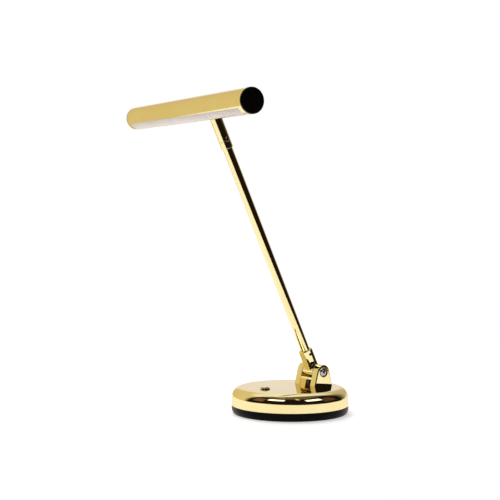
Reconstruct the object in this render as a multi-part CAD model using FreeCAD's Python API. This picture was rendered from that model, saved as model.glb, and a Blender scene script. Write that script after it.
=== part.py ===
import FreeCAD, Part
import math
import os

from FreeCAD import Placement, Rotation
from FreeCAD import Vector as V

# Piano lamp: a round weighted base, a forked hinge, a leaning arm and a tube shade
# that swivels on top of it. Millimetres. The origin is the middle of the underside,
# +Z is up, +X runs along the hinge pin and the front is towards -Y.

# Fits and clearances
FIT_GAP = 0.05
SEAT_GAP = 0.1
SOFT_GAP = 0.3
OVERCUT = 1.0
FAR = 300.0

# Base cover, a spun brass dish turned upside down
BASE_RADIUS = 82.5
BASE_HEIGHT = 37.0
SHOULDER_RADIUS = 14.0
COVER_WALL = 1.8

# Moulded skirt under the cover
SKIRT_HEIGHT = 12.0
SKIRT_TUCK = 3.0
SKIRT_LIFT = 0.8
SKIRT_INSET = 0.2
SKIRT_BULGE_TOP = 8.0
LIP_HEIGHT = 3.0
LIP_WALL = 2.1
LEDGE_WIDTH = 4.4
LEDGE_THICK = 2.4

# Underside
PAD_THICK = 1.4
PLATE_THICK = 1.2
FOOT_RIM = 1.7
PAD_INSET = 4.1
FOOT_SCREW_CIRCLE = 62.0
FOOT_SCREW_COUNT = 3
FOOT_SCREW_RADIUS = 2.0
FOOT_SCREW_LENGTH = 11.0
FOOT_HEAD_RADIUS = 3.8
FOOT_HEAD_HEIGHT = 1.1

# Cast weight
BALLAST_TOP = 22.0
POST_RADIUS = 6.0
POST_X = 42.0
POST_Y = -28.0
HINGE_PAD_MARGIN = 3.5

# Driver board in its pocket
BOARD_X = 64.0
BOARD_Y = 30.0
BOARD_THICK = 1.6
BOARD_POCKET_FLOOR = 10.0
BOARD_MARGIN = 3.0
BOARD_CENTRE_Y = -6.0
STANDOFF_HEIGHT = 3.0
STANDOFF_RADIUS = 3.0
BOARD_SCREW_INSET = 4.0
BOARD_SCREW_RADIUS = 1.25
BOARD_SCREW_DEPTH = 4.5
BOARD_HEAD_RADIUS = 2.3
BOARD_HEAD_HEIGHT = 1.5
TRANSFORMER_WIDTH = 16.0
TRANSFORMER_DEPTH = 14.0
TRANSFORMER_HEIGHT = 11.0
TRANSFORMER_X = -12.0
CHIP_WIDTH = 8.0
CHIP_DEPTH = 6.0
CHIP_HEIGHT = 2.0
CHIP_X = 20.0
CHIP_SHIFT = 4.0
CAPACITOR_RADIUS = 3.2
CAPACITOR_HEIGHT = 10.0
CAPACITOR_STATIONS = (4.0, 12.0)
CAPACITOR_SHIFT = 6.0

# Cord inlet at the back of the skirt
INLET_Z = 7.4
INLET_BORE = 2.6
INLET_BODY = 3.5
INLET_FLANGE = 4.4
INLET_FLANGE_THICK = 1.3
INLET_SPOT_DEPTH = 1.7
CHANNEL_HALF = 5.0
CHANNEL_TOP = 12.2

# Hinge cheeks
HINGE_Y = 42.5
PIVOT_RISE = 19.0
CHEEK_GAP = 24.0
CHEEK_THICK = 11.5
CHEEK_HEAD_RADIUS = 10.5
CHEEK_FOOT = 32.0
CHEEK_EDGE_ROUND = 1.2
CHEEK_SCREW_SPREAD = 9.5
CHEEK_SCREW_RADIUS = 2.5
CHEEK_SCREW_DEPTH = 12.0
CHEEK_HEAD_SINK = 4.0
CHEEK_CAP_RADIUS = 4.3
CHEEK_CAP_HEIGHT = 5.0

# Pivot screws, one from each side
SHOULDER_SCREW_RADIUS = 4.0
SHOULDER_THREAD_RADIUS = 3.0
SHOULDER_THREAD_LENGTH = 6.2
SHOULDER_HEAD_RADIUS = 6.6
SHOULDER_HEAD_HEIGHT = 3.4
SHOULDER_HEAD_SINK = 4.0
SHOULDER_HEAD_BEVEL = 0.4
HEX_SOCKET_FLATS = 5.0
HEX_SOCKET_DEPTH = 2.2
WASHER_THICK = 0.7
WASHER_RADIUS = 10.0

# Knuckle
BARREL_RADIUS = 10.5
BLOCK_SIDE = 16.5
BLOCK_BEVEL = 2.8
BLOCK_TOP = 34.4
BLOCK_TOP_BEVEL = 0.8
SOCKET_FLOOR = 9.5
KNUCKLE_WIRE_BORE = 3.2
GRUB_RADIUS = 2.0
GRUB_STATIONS = (14.0, 27.5)
GRUB_SINK = 0.6
GRUB_HEX_FLATS = 2.0

# Arm
ARM_LEAN = 25.6
ARM_REACH = 404.5
ARM_RADIUS = 6.5
ARM_WALL = 1.0
ARM_CABLE_RADIUS = 2.5

# Swivel at the top of the arm
STEM_RADIUS = 8.0
STEM_LENGTH = 31.5
STEM_LIFT = 0.3
COLLAR_LENGTH = 9.8
SPINDLE_PLUG = 25.0
SPINDLE_FLANGE = 1.0
SPINDLE_PIN_RADIUS = 4.75
SPINDLE_PIN_LENGTH = 23.0
SPINDLE_BORE = 3.1
GROOVE_RADIUS = 3.9
GROOVE_WIDTH = 3.4
BUSH_WALL = 1.15
SWIVEL_HALF_RANGE = 80.0
STOP_SCREW_RADIUS = 1.5
STOP_SCREW_RISE = 3.4
STOP_SCREW_SINK = 0.3
NECK_RADIUS = 5.0
NECK_REACH = 6.0
STEM_NUT_RADIUS = 6.2
STEM_NUT_THICK = 3.0

# Shade
SHADE_SWIVEL = -6.5
SHADE_RADIUS = 17.0
SHADE_WALL = 1.2
SHADE_NEAR = 111.0
SHADE_REAR = 254.0
CAP_LENGTH = 12.0
CAP_ROUND = 3.0
CAP_SPIGOT = 8.0
CAP_SPIGOT_WALL = 1.5
CAP_FACE = 2.5
SLOT_TURN = 55.5
SLOT_ANGLE = 51.0
DIFFUSER_WALL = 2.3
DIFFUSER_SINK = 0.2
DIFFUSER_FLANGE = 2.5
DIFFUSER_FLANGE_WALL = 1.2

# Light inside the shade
CHANNEL_PLATE = 1.5
CHANNEL_SET_BACK = 4.0
CHANNEL_RIB_DEPTH = 5.0
CHANNEL_RIB_SPREAD = 8.0
STRIP_WIDTH = 12.0
STRIP_THICK = 1.2
LED_COUNT = 22
LED_SIDE = 3.0
LED_HEIGHT = 0.8

# Push switch in the top of the base
SWITCH_Y = -43.5
SWITCH_NECK_RADIUS = 5.6
SWITCH_BODY_RADIUS = 9.0
SWITCH_BODY_HEIGHT = 19.0
SWITCH_NUT_RADIUS = 8.0
SWITCH_NUT_HEIGHT = 2.0
SWITCH_POCKET_MARGIN = 3.0
SWITCH_TAB_LENGTH = 5.0
SWITCH_TAB_WIDTH = 4.0
SWITCH_TAB_THICK = 0.8
BEZEL_RADIUS = 6.9
BEZEL_HEIGHT = 2.0
BEZEL_BEVEL = 0.7
BUTTON_RADIUS = 4.35
BUTTON_PROUD = 1.4
BUTTON_DOME = 0.7
BUTTON_FLANGE = 0.85
BUTTON_FLANGE_HEIGHT = 1.2
BUTTON_TRAVEL = 1.5
BUTTON_SKIRT = 9.0
BUTTON_BORE = 3.1
BUTTON_ROOF = 3.0
SPRING_RADIUS = 2.4
SPRING_WIRE = 0.3
SPRING_TURNS = 4

# Levels and places that follow from the sizes above
PLATE_TOP = PAD_THICK + PLATE_THICK
LEDGE_TOP = PLATE_TOP + LEDGE_THICK
COVER_ROOF = BASE_HEIGHT - COVER_WALL
COVER_BORE = BASE_RADIUS - COVER_WALL
LIP_RADIUS = COVER_BORE - SKIRT_INSET
SKIRT_BORE = LIP_RADIUS - LIP_WALL
SKIRT_RADIUS = BASE_RADIUS - SKIRT_INSET
SKIRT_FOOT_RADIUS = SKIRT_RADIUS - SKIRT_TUCK
LEDGE_RADIUS = SKIRT_BORE - LEDGE_WIDTH
PLATE_RADIUS = SKIRT_FOOT_RADIUS - FOOT_RIM
PAD_RADIUS = PLATE_RADIUS - PAD_INSET
PIVOT_Z = BASE_HEIGHT + PIVOT_RISE
CHEEK_INNER = CHEEK_GAP / 2
CHEEK_OUTER = CHEEK_INNER + CHEEK_THICK
CHEEK_MIDDLE = CHEEK_INNER + CHEEK_THICK / 2
BARREL_HALF = CHEEK_INNER - WASHER_THICK - SEAT_GAP
SHOULDER_HEAD_SEAT = CHEEK_OUTER - SHOULDER_HEAD_SINK
ARM_BORE = ARM_RADIUS - ARM_WALL
STEM_FOOT = ARM_REACH - SHADE_RADIUS - STEM_LENGTH
FLANGE_TOP = STEM_FOOT - STEM_LIFT
ARM_TOP = FLANGE_TOP - SPINDLE_FLANGE
BUSH_BORE = SPINDLE_PIN_RADIUS + FIT_GAP
BUSH_RADIUS = BUSH_BORE + BUSH_WALL
STEM_BORE = BUSH_RADIUS + FIT_GAP
SHADE_BORE = SHADE_RADIUS - SHADE_WALL
TUBE_NEAR = SHADE_NEAR - CAP_LENGTH
TUBE_FAR = CAP_LENGTH - SHADE_REAR
SWITCH_BORE = BUTTON_RADIUS + FIT_GAP
SWITCH_CHAMBER = BUTTON_RADIUS + BUTTON_FLANGE + FIT_GAP * 2
BEZEL_TOP = BASE_HEIGHT + BEZEL_HEIGHT
SWITCH_SHOULDER = COVER_ROOF - SWITCH_NUT_HEIGHT
SWITCH_FLOOR = SWITCH_SHOULDER - SWITCH_BODY_HEIGHT
BUTTON_TOP = BEZEL_TOP + BUTTON_PROUD
BUTTON_FOOT = BUTTON_TOP - BUTTON_SKIRT - BUTTON_DOME - BUTTON_FLANGE_HEIGHT
SPRING_SEAT = BUTTON_FOOT - BUTTON_TRAVEL - BUTTON_FLANGE_HEIGHT * 2
SPRING_TOP = BUTTON_TOP - BUTTON_ROOF

X_AXIS = V(1, 0, 0)
Y_AXIS = V(0, 1, 0)
Z_AXIS = V(0, 0, 1)
ARM_PLACE = Placement(V(0, HINGE_Y, PIVOT_Z), Rotation(X_AXIS, ARM_LEAN))
SHADE_PLACE = ARM_PLACE.multiply(Placement(V(0, 0, ARM_REACH), Rotation(Z_AXIS, SHADE_SWIVEL)))


def rod(radius, length, start, direction=Z_AXIS):
    """A plain cylinder from its start point along a direction."""
    return Part.makeCylinder(radius, length, start, direction)


def pipe(outer, inner, length, start, direction=Z_AXIS):
    """A cylinder with a bore right through."""
    return rod(outer, length, start, direction).cut(rod(inner, length, start, direction))


def slab(x_size, y_size, z_size, centre):
    """A box about a centre point."""
    corner = centre - V(x_size / 2, y_size / 2, z_size / 2)
    return Part.makeBox(x_size, y_size, z_size, corner)


def line(a, b):
    return Part.LineSegment(a, b).toShape()


def arc(a, middle, b):
    return Part.Arc(a, middle, b).toShape()


def spun(edges):
    """A solid turned about Z from a closed outline in the XZ plane."""
    return Part.Face(Part.Wire(edges)).revolve(V(0, 0, 0), Z_AXIS, 360)


def lines_through(points):
    """Straight edges from each point to the next."""
    return [line(a, b) for a, b in zip(points, points[1:])]


def hexagon_rod(flats, length, start, direction):
    """A hexagonal prism along X, used for the sockets in screw heads."""
    corner = flats / 2 / math.cos(math.radians(30))
    turns = [math.radians(60 * i) for i in range(7)]
    ring = [start + V(0, corner * math.cos(t), corner * math.sin(t)) for t in turns]
    return Part.Face(Part.makePolygon(ring)).extrude(direction * length)


def mirrored_pair(shape):
    """The shape and its twin on the other side of the YZ plane."""
    return Part.makeCompound([shape, shape.mirror(V(0, 0, 0), X_AXIS)])


def cheek_screw_places():
    """X and Y of the four screws that hold the cheeks, seen from above."""
    places = []
    for side in (-1, 1):
        for step in (-1, 1):
            places.append((side * CHEEK_MIDDLE, HINGE_Y + step * CHEEK_SCREW_SPREAD))
    return places


def foot_screw_places():
    """X and Y of the screws under the base, with one at the front."""
    places = []
    for i in range(FOOT_SCREW_COUNT):
        turn = math.radians(-90 + i * 360 / FOOT_SCREW_COUNT)
        places.append((FOOT_SCREW_CIRCLE * math.cos(turn), FOOT_SCREW_CIRCLE * math.sin(turn)))
    return places


def board_screw_places():
    """X and Y of the two screws in opposite corners of the driver board."""
    places = []
    for side in (-1, 1):
        x = side * (BOARD_X / 2 - BOARD_SCREW_INSET)
        y = BOARD_CENTRE_Y + side * (BOARD_Y / 2 - BOARD_SCREW_INSET)
        places.append((x, y))
    return places


def base_cover():
    """Polished dish, round outside and turned with two bevels inside its shoulder."""
    bend_x = BASE_RADIUS - SHOULDER_RADIUS
    bend_z = BASE_HEIGHT - SHOULDER_RADIUS
    half = SHOULDER_RADIUS * math.sqrt(0.5)
    inner_half = (SHOULDER_RADIUS - COVER_WALL) * math.sqrt(0.5)
    side = V(BASE_RADIUS, 0, bend_z)
    crown = V(bend_x, 0, BASE_HEIGHT)
    shoulder = arc(side, V(bend_x + half, 0, bend_z + half), crown)
    rest = [
        crown,
        V(0, 0, BASE_HEIGHT),
        V(0, 0, COVER_ROOF),
        V(bend_x, 0, COVER_ROOF),
        V(bend_x + inner_half, 0, bend_z + inner_half),
        V(COVER_BORE, 0, bend_z),
        V(COVER_BORE, 0, SKIRT_HEIGHT),
        V(BASE_RADIUS, 0, SKIRT_HEIGHT),
        side,
    ]
    body = spun([shoulder] + lines_through(rest))
    switch_hole = rod(SWITCH_NECK_RADIUS + SEAT_GAP, BASE_HEIGHT, V(0, SWITCH_Y, COVER_ROOF - OVERCUT))
    holes = [switch_hole]
    for x, y in cheek_screw_places():
        holes.append(rod(CHEEK_SCREW_RADIUS + SEAT_GAP, BASE_HEIGHT, V(x, y, COVER_ROOF - OVERCUT)))
    return body.cut(Part.makeCompound(holes))


def skirt_spot_y():
    """Y of the flat that the inlet's outer flange sits on."""
    return SKIRT_RADIUS - INLET_SPOT_DEPTH


def base_skirt():
    """Moulded ring that carries the cover's rim, with a lip inside it and a ledge."""
    drop = SKIRT_BULGE_TOP - SKIRT_LIFT
    bulge = (SKIRT_TUCK ** 2 + drop ** 2) / (2 * SKIRT_TUCK)
    sweep = math.asin(drop / bulge) / 2
    middle_x = SKIRT_RADIUS - bulge + bulge * math.cos(sweep)
    middle = V(middle_x, 0, SKIRT_BULGE_TOP - bulge * math.sin(sweep))
    foot = V(SKIRT_FOOT_RADIUS, 0, SKIRT_LIFT)
    belly = V(SKIRT_RADIUS, 0, SKIRT_BULGE_TOP)
    lip_top = SKIRT_HEIGHT + LIP_HEIGHT
    inside = [
        belly,
        V(SKIRT_RADIUS, 0, SKIRT_HEIGHT),
        V(LIP_RADIUS, 0, SKIRT_HEIGHT),
        V(LIP_RADIUS, 0, lip_top),
        V(SKIRT_BORE, 0, lip_top),
        V(SKIRT_BORE, 0, LEDGE_TOP),
        V(LEDGE_RADIUS, 0, LEDGE_TOP),
        V(LEDGE_RADIUS, 0, PLATE_TOP),
        V(PLATE_RADIUS, 0, PLATE_TOP),
        V(PLATE_RADIUS, 0, SKIRT_LIFT),
        foot,
    ]
    ring = spun([arc(foot, middle, belly)] + lines_through(inside))
    hole = rod(INLET_BODY + FIT_GAP, FAR, V(0, LEDGE_RADIUS, INLET_Z), Y_AXIS)
    spot = rod(INLET_FLANGE + FIT_GAP, FAR, V(0, skirt_spot_y(), INLET_Z), Y_AXIS)
    notch_y = SKIRT_BORE - LEDGE_WIDTH / 2
    notch_z = (PLATE_TOP + CHANNEL_TOP) / 2
    height = CHANNEL_TOP - PLATE_TOP
    depth = LEDGE_WIDTH + 2 * OVERCUT
    notch = slab(2 * CHANNEL_HALF, depth, height, V(0, notch_y - OVERCUT, notch_z))
    return ring.cut(Part.makeCompound([hole, spot, notch]))


def bottom_plate():
    """Steel disc that closes the base from below."""
    disc = rod(PLATE_RADIUS - SEAT_GAP, PLATE_THICK, V(0, 0, PAD_THICK))
    drill = FOOT_SCREW_RADIUS + SEAT_GAP
    holes = [rod(drill, PLATE_THICK, V(x, y, PAD_THICK)) for x, y in foot_screw_places()]
    return disc.cut(Part.makeCompound(holes))


def foot_pad():
    """Non-slip disc stuck under the plate, cleared round the screw heads."""
    disc = rod(PAD_RADIUS, PAD_THICK, V(0, 0, 0))
    punch = FOOT_HEAD_RADIUS + SOFT_GAP
    holes = [rod(punch, PAD_THICK, V(x, y, 0)) for x, y in foot_screw_places()]
    return disc.cut(Part.makeCompound(holes))


def bottom_screws():
    """Pan head screws up through the plate into the weight."""
    screws = []
    for x, y in foot_screw_places():
        head = rod(FOOT_HEAD_RADIUS, FOOT_HEAD_HEIGHT, V(x, y, PAD_THICK - FOOT_HEAD_HEIGHT))
        shank = rod(FOOT_SCREW_RADIUS, FOOT_SCREW_LENGTH, V(x, y, PAD_THICK))
        screws.append(head.fuse(shank))
    return Part.makeCompound(screws)


def ballast_weight():
    """Iron casting with pads up to the cover, pockets and a groove for the cord."""
    height = BALLAST_TOP - LEDGE_TOP
    body = rod(SKIRT_BORE - SOFT_GAP, height, V(0, 0, LEDGE_TOP))
    body = body.fuse(rod(LEDGE_RADIUS - SOFT_GAP, LEDGE_THICK, V(0, 0, PLATE_TOP)))
    pad_x = 2 * (CHEEK_OUTER + HINGE_PAD_MARGIN)
    pad_y = CHEEK_FOOT + HINGE_PAD_MARGIN
    rise = COVER_ROOF - LEDGE_TOP
    body = body.fuse(slab(pad_x, pad_y, rise, V(0, HINGE_Y, LEDGE_TOP + rise / 2)))
    for side in (-1, 1):
        body = body.fuse(rod(POST_RADIUS, rise, V(side * POST_X, POST_Y, LEDGE_TOP)))
    switch_pocket = SWITCH_BODY_RADIUS + SWITCH_POCKET_MARGIN
    pocket_floor = SWITCH_FLOOR - SWITCH_TAB_LENGTH - SWITCH_POCKET_MARGIN / 2
    cuts = [rod(switch_pocket, FAR, V(0, SWITCH_Y, pocket_floor))]
    room_x = BOARD_X + 2 * BOARD_MARGIN
    room_y = BOARD_Y + 2 * BOARD_MARGIN
    room_z = COVER_ROOF - BOARD_POCKET_FLOOR
    centre = V(0, BOARD_CENTRE_Y, BOARD_POCKET_FLOOR + room_z / 2)
    cuts.append(slab(room_x, room_y, room_z, centre))
    link = BOARD_CENTRE_Y - SWITCH_Y
    cuts.append(slab(2 * CHANNEL_HALF, link, room_z, centre - V(0, link / 2, 0)))
    channel_y = SKIRT_BORE - BOARD_CENTRE_Y
    channel_z = CHANNEL_TOP - PLATE_TOP
    middle = V(0, BOARD_CENTRE_Y + channel_y / 2, PLATE_TOP + channel_z / 2)
    cuts.append(slab(2 * CHANNEL_HALF, channel_y, channel_z, middle))
    for x, y in cheek_screw_places():
        cuts.append(rod(CHEEK_SCREW_RADIUS + SEAT_GAP, FAR, V(x, y, 0)))
        sink = CHEEK_HEAD_SINK + CHEEK_CAP_HEIGHT
        cuts.append(rod(CHEEK_CAP_RADIUS + SEAT_GAP, sink, V(x, y, 0)))
    for x, y in foot_screw_places():
        depth = FOOT_SCREW_LENGTH + SEAT_GAP
        cuts.append(rod(FOOT_SCREW_RADIUS + FIT_GAP, depth, V(x, y, PAD_THICK)))
    body = body.cut(Part.makeCompound(cuts))
    for x, y in board_screw_places():
        body = body.fuse(rod(STANDOFF_RADIUS, STANDOFF_HEIGHT, V(x, y, BOARD_POCKET_FLOOR)))
    depth = BOARD_SCREW_DEPTH + SEAT_GAP
    board_foot = BOARD_POCKET_FLOOR + STANDOFF_HEIGHT
    taps = []
    for x, y in board_screw_places():
        taps.append(rod(BOARD_SCREW_RADIUS + FIT_GAP, depth, V(x, y, board_foot - depth)))
    return body.cut(Part.makeCompound(taps)).removeSplitter()


def driver_board():
    """Circuit board of the LED driver with its transformer, capacitors and chip."""
    foot = BOARD_POCKET_FLOOR + STANDOFF_HEIGHT
    top = foot + BOARD_THICK
    board = slab(BOARD_X, BOARD_Y, BOARD_THICK, V(0, BOARD_CENTRE_Y, foot + BOARD_THICK / 2))
    drill = BOARD_SCREW_RADIUS + SEAT_GAP
    holes = [rod(drill, BOARD_THICK, V(x, y, foot)) for x, y in board_screw_places()]
    board = board.cut(Part.makeCompound(holes))
    core = V(TRANSFORMER_X, BOARD_CENTRE_Y, top + TRANSFORMER_HEIGHT / 2)
    mounted = [slab(TRANSFORMER_WIDTH, TRANSFORMER_DEPTH, TRANSFORMER_HEIGHT, core)]
    middle = V(CHIP_X, BOARD_CENTRE_Y - CHIP_SHIFT, top + CHIP_HEIGHT / 2)
    mounted.append(slab(CHIP_WIDTH, CHIP_DEPTH, CHIP_HEIGHT, middle))
    for x in CAPACITOR_STATIONS:
        can_foot = V(x, BOARD_CENTRE_Y + CAPACITOR_SHIFT, top)
        mounted.append(rod(CAPACITOR_RADIUS, CAPACITOR_HEIGHT, can_foot))
    return board.fuse(mounted)


def board_screws():
    """Small pan head screws down through the board into the weight."""
    top = BOARD_POCKET_FLOOR + STANDOFF_HEIGHT + BOARD_THICK
    length = BOARD_SCREW_DEPTH + BOARD_THICK
    screws = []
    for x, y in board_screw_places():
        head = rod(BOARD_HEAD_RADIUS, BOARD_HEAD_HEIGHT, V(x, y, top))
        screws.append(head.fuse(rod(BOARD_SCREW_RADIUS, length, V(x, y, top - length))))
    return Part.makeCompound(screws)


def cord_grommet():
    """Rubber bush gripped in the skirt's wall, with a flange on each side of it."""
    outer_face = skirt_spot_y() + INLET_FLANGE_THICK
    half_chord = INLET_FLANGE + FIT_GAP
    inner_face = math.sqrt(SKIRT_BORE ** 2 - half_chord ** 2) - SEAT_GAP
    back = inner_face - INLET_FLANGE_THICK
    bush = rod(INLET_BODY, outer_face - back, V(0, back, INLET_Z), Y_AXIS)
    flange = rod(INLET_FLANGE, INLET_FLANGE_THICK, V(0, skirt_spot_y(), INLET_Z), Y_AXIS)
    inner_flange = rod(INLET_FLANGE, INLET_FLANGE_THICK, V(0, back, INLET_Z), Y_AXIS)
    bush = bush.fuse([flange, inner_flange])
    return bush.cut(rod(INLET_BORE, outer_face - back, V(0, back, INLET_Z), Y_AXIS))


def cheek_outline():
    """Closed wire of a cheek in the YZ plane: a foot, two tapering sides and a round head."""
    centre = V(0, HINGE_Y, PIVOT_Z)
    corner = V(0, CHEEK_FOOT / 2, -PIVOT_RISE)
    reach = math.hypot(corner.y, corner.z)
    turn = math.atan2(corner.z, corner.y) + math.acos(CHEEK_HEAD_RADIUS / reach)
    touch = V(0, CHEEK_HEAD_RADIUS * math.cos(turn), CHEEK_HEAD_RADIUS * math.sin(turn))
    back_foot = centre + corner
    back_touch = centre + touch
    front_touch = centre + V(0, -touch.y, touch.z)
    front_foot = centre + V(0, -corner.y, corner.z)
    crown = centre + V(0, 0, CHEEK_HEAD_RADIUS)
    return Part.Wire([
        line(back_foot, back_touch),
        arc(back_touch, crown, front_touch),
        line(front_touch, front_foot),
        line(front_foot, back_foot),
    ])


def cheek(side):
    """One ear of the hinge on one side, rounded where it shows and tapped from below."""
    face = Part.Face(cheek_outline())
    body = face.extrude(V(CHEEK_THICK, 0, 0))
    body.translate(V(CHEEK_INNER, 0, 0))
    rounded = []
    for edge in body.Edges:
        box = edge.BoundBox
        if box.XMin > CHEEK_OUTER - FIT_GAP and box.ZMax > BASE_HEIGHT + FIT_GAP:
            rounded.append(edge)
    body = body.makeFillet(CHEEK_EDGE_ROUND, rounded)
    pivot = V(0, HINGE_Y, PIVOT_Z)
    cuts = [rod(SHOULDER_SCREW_RADIUS + FIT_GAP, FAR, pivot, X_AXIS)]
    seat = pivot + V(SHOULDER_HEAD_SEAT, 0, 0)
    cuts.append(rod(SHOULDER_HEAD_RADIUS + SOFT_GAP, FAR, seat, X_AXIS))
    for x, y in cheek_screw_places():
        cuts.append(rod(CHEEK_SCREW_RADIUS + FIT_GAP, CHEEK_SCREW_DEPTH, V(x, y, BASE_HEIGHT)))
    body = body.cut(Part.makeCompound(cuts))
    return body if side > 0 else body.mirror(V(0, 0, 0), X_AXIS)


def cheek_screws():
    """Cap screws from under the weight, through the cover and up into the cheeks."""
    screws = []
    top = BASE_HEIGHT + CHEEK_SCREW_DEPTH - SOFT_GAP
    head_top = CHEEK_HEAD_SINK + CHEEK_CAP_HEIGHT
    for x, y in cheek_screw_places():
        head = rod(CHEEK_CAP_RADIUS, CHEEK_CAP_HEIGHT, V(x, y, CHEEK_HEAD_SINK))
        screws.append(head.fuse(rod(CHEEK_SCREW_RADIUS, top - head_top, V(x, y, head_top))))
    return Part.makeCompound(screws)


def friction_washers():
    """Nylon rings on the inner faces of the cheeks."""
    start = V(CHEEK_INNER - WASHER_THICK, HINGE_Y, PIVOT_Z)
    ring = pipe(WASHER_RADIUS, SHOULDER_SCREW_RADIUS + FIT_GAP, WASHER_THICK, start, X_AXIS)
    return mirrored_pair(ring)


def pivot_screws():
    """Shoulder screws that turn in the cheeks and are threaded into the knuckle's ends."""
    seat = SHOULDER_HEAD_SEAT + FIT_GAP
    head = rod(SHOULDER_HEAD_RADIUS, SHOULDER_HEAD_HEIGHT, V(seat, 0, 0), X_AXIS)
    rim = []
    for edge in head.Edges:
        if edge.BoundBox.XMin > seat + SHOULDER_HEAD_HEIGHT - FIT_GAP:
            rim.append(edge)
    head = head.makeChamfer(SHOULDER_HEAD_BEVEL, rim)
    top = seat + SHOULDER_HEAD_HEIGHT
    socket = hexagon_rod(HEX_SOCKET_FLATS, HEX_SOCKET_DEPTH, V(top, 0, 0), V(-1, 0, 0))
    shoulder = rod(SHOULDER_SCREW_RADIUS, seat - BARREL_HALF, V(BARREL_HALF, 0, 0), X_AXIS)
    inner = BARREL_HALF - SHOULDER_THREAD_LENGTH
    thread = rod(SHOULDER_THREAD_RADIUS, SHOULDER_THREAD_LENGTH, V(inner, 0, 0), X_AXIS)
    screw = head.fuse([shoulder, thread]).cut(socket)
    return mirrored_pair(screw)


def knuckle():
    """Barrel between the cheeks with a bevelled square socket standing on it."""
    barrel = rod(BARREL_RADIUS, 2 * BARREL_HALF, V(-BARREL_HALF, 0, 0), X_AXIS)
    half = BLOCK_SIDE / 2
    flat = half - BLOCK_BEVEL
    corners = [
        V(half, flat, 0),
        V(flat, half, 0),
        V(-flat, half, 0),
        V(-half, flat, 0),
        V(-half, -flat, 0),
        V(-flat, -half, 0),
        V(flat, -half, 0),
        V(half, -flat, 0),
        V(half, flat, 0),
    ]
    block = Part.Face(Part.makePolygon(corners)).extrude(V(0, 0, BLOCK_TOP))
    top_edges = [edge for edge in block.Edges if edge.BoundBox.ZMin > BLOCK_TOP - FIT_GAP]
    block = block.makeChamfer(BLOCK_TOP_BEVEL, top_edges)
    body = barrel.fuse(block)
    cuts = [rod(ARM_RADIUS + FIT_GAP, FAR, V(0, 0, SOCKET_FLOOR))]
    cuts.append(rod(KNUCKLE_WIRE_BORE, FAR, V(0, 0, -BARREL_RADIUS - OVERCUT)))
    thread_room = SHOULDER_THREAD_LENGTH + SEAT_GAP
    for side in (-1, 1):
        start = V(side * (BARREL_HALF - thread_room), 0, 0)
        direction = V(side, 0, 0)
        cuts.append(rod(SHOULDER_THREAD_RADIUS + FIT_GAP, thread_room + OVERCUT, start, direction))
    for station in GRUB_STATIONS:
        cuts.append(rod(GRUB_RADIUS + FIT_GAP, half, V(ARM_BORE, 0, station), X_AXIS))
    return body.cut(Part.makeCompound(cuts)).removeSplitter()


def knuckle_screws():
    """Grub screws in the +X face of the socket, tightened on the arm."""
    start = ARM_RADIUS + FIT_GAP
    length = BLOCK_SIDE / 2 - GRUB_SINK - start
    screws = []
    for station in GRUB_STATIONS:
        grub = rod(GRUB_RADIUS, length, V(start, 0, station), X_AXIS)
        tip = V(start + length, 0, station)
        screws.append(grub.cut(hexagon_rod(GRUB_HEX_FLATS, length / 2, tip, V(-1, 0, 0))))
    return Part.makeCompound(screws)


def arm_tube():
    """Straight thin tube from the socket's floor up to the swivel."""
    foot = SOCKET_FLOOR + SEAT_GAP
    return pipe(ARM_RADIUS, ARM_BORE, ARM_TOP - foot, V(0, 0, foot))


def swivel_collar():
    """Ring soldered round the tube's top, flush with the stem above it."""
    start = V(0, 0, ARM_TOP - COLLAR_LENGTH)
    return pipe(STEM_RADIUS, ARM_RADIUS + FIT_GAP, COLLAR_LENGTH, start)


def swivel_spindle():
    """Hollow pin plugged into the tube, with a flange and a stop groove for the screw."""
    plug = rod(ARM_BORE - FIT_GAP, SPINDLE_PLUG, V(0, 0, ARM_TOP - SPINDLE_PLUG))
    flange = rod(STEM_RADIUS, SPINDLE_FLANGE, V(0, 0, ARM_TOP))
    pin = rod(SPINDLE_PIN_RADIUS, SPINDLE_PIN_LENGTH, V(0, 0, FLANGE_TOP))
    body = plug.fuse([flange, pin])
    groove_foot = STEM_FOOT + STOP_SCREW_RISE - GROOVE_WIDTH / 2
    screw_half = math.degrees(math.asin(STOP_SCREW_RADIUS / GROOVE_RADIUS))
    half_sweep = SWIVEL_HALF_RANGE + screw_half + 1
    outer = STEM_RADIUS
    sector = Part.makeCylinder(outer, GROOVE_WIDTH, V(0, 0, groove_foot), Z_AXIS, 2 * half_sweep)
    sector.rotate(V(0, 0, 0), Z_AXIS, -half_sweep)
    core = rod(GROOVE_RADIUS, GROOVE_WIDTH, V(0, 0, groove_foot))
    body = body.cut(sector.cut(core))
    return body.cut(rod(SPINDLE_BORE, FAR, V(0, 0, ARM_TOP - SPINDLE_PLUG)))


def arm_cable():
    """Two-core cable that runs up inside the arm, from the knuckle to the spindle's top."""
    foot = BARREL_RADIUS / 2
    top = FLANGE_TOP + SPINDLE_PIN_LENGTH
    return rod(ARM_CABLE_RADIUS, top - foot, V(0, 0, foot))


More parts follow.
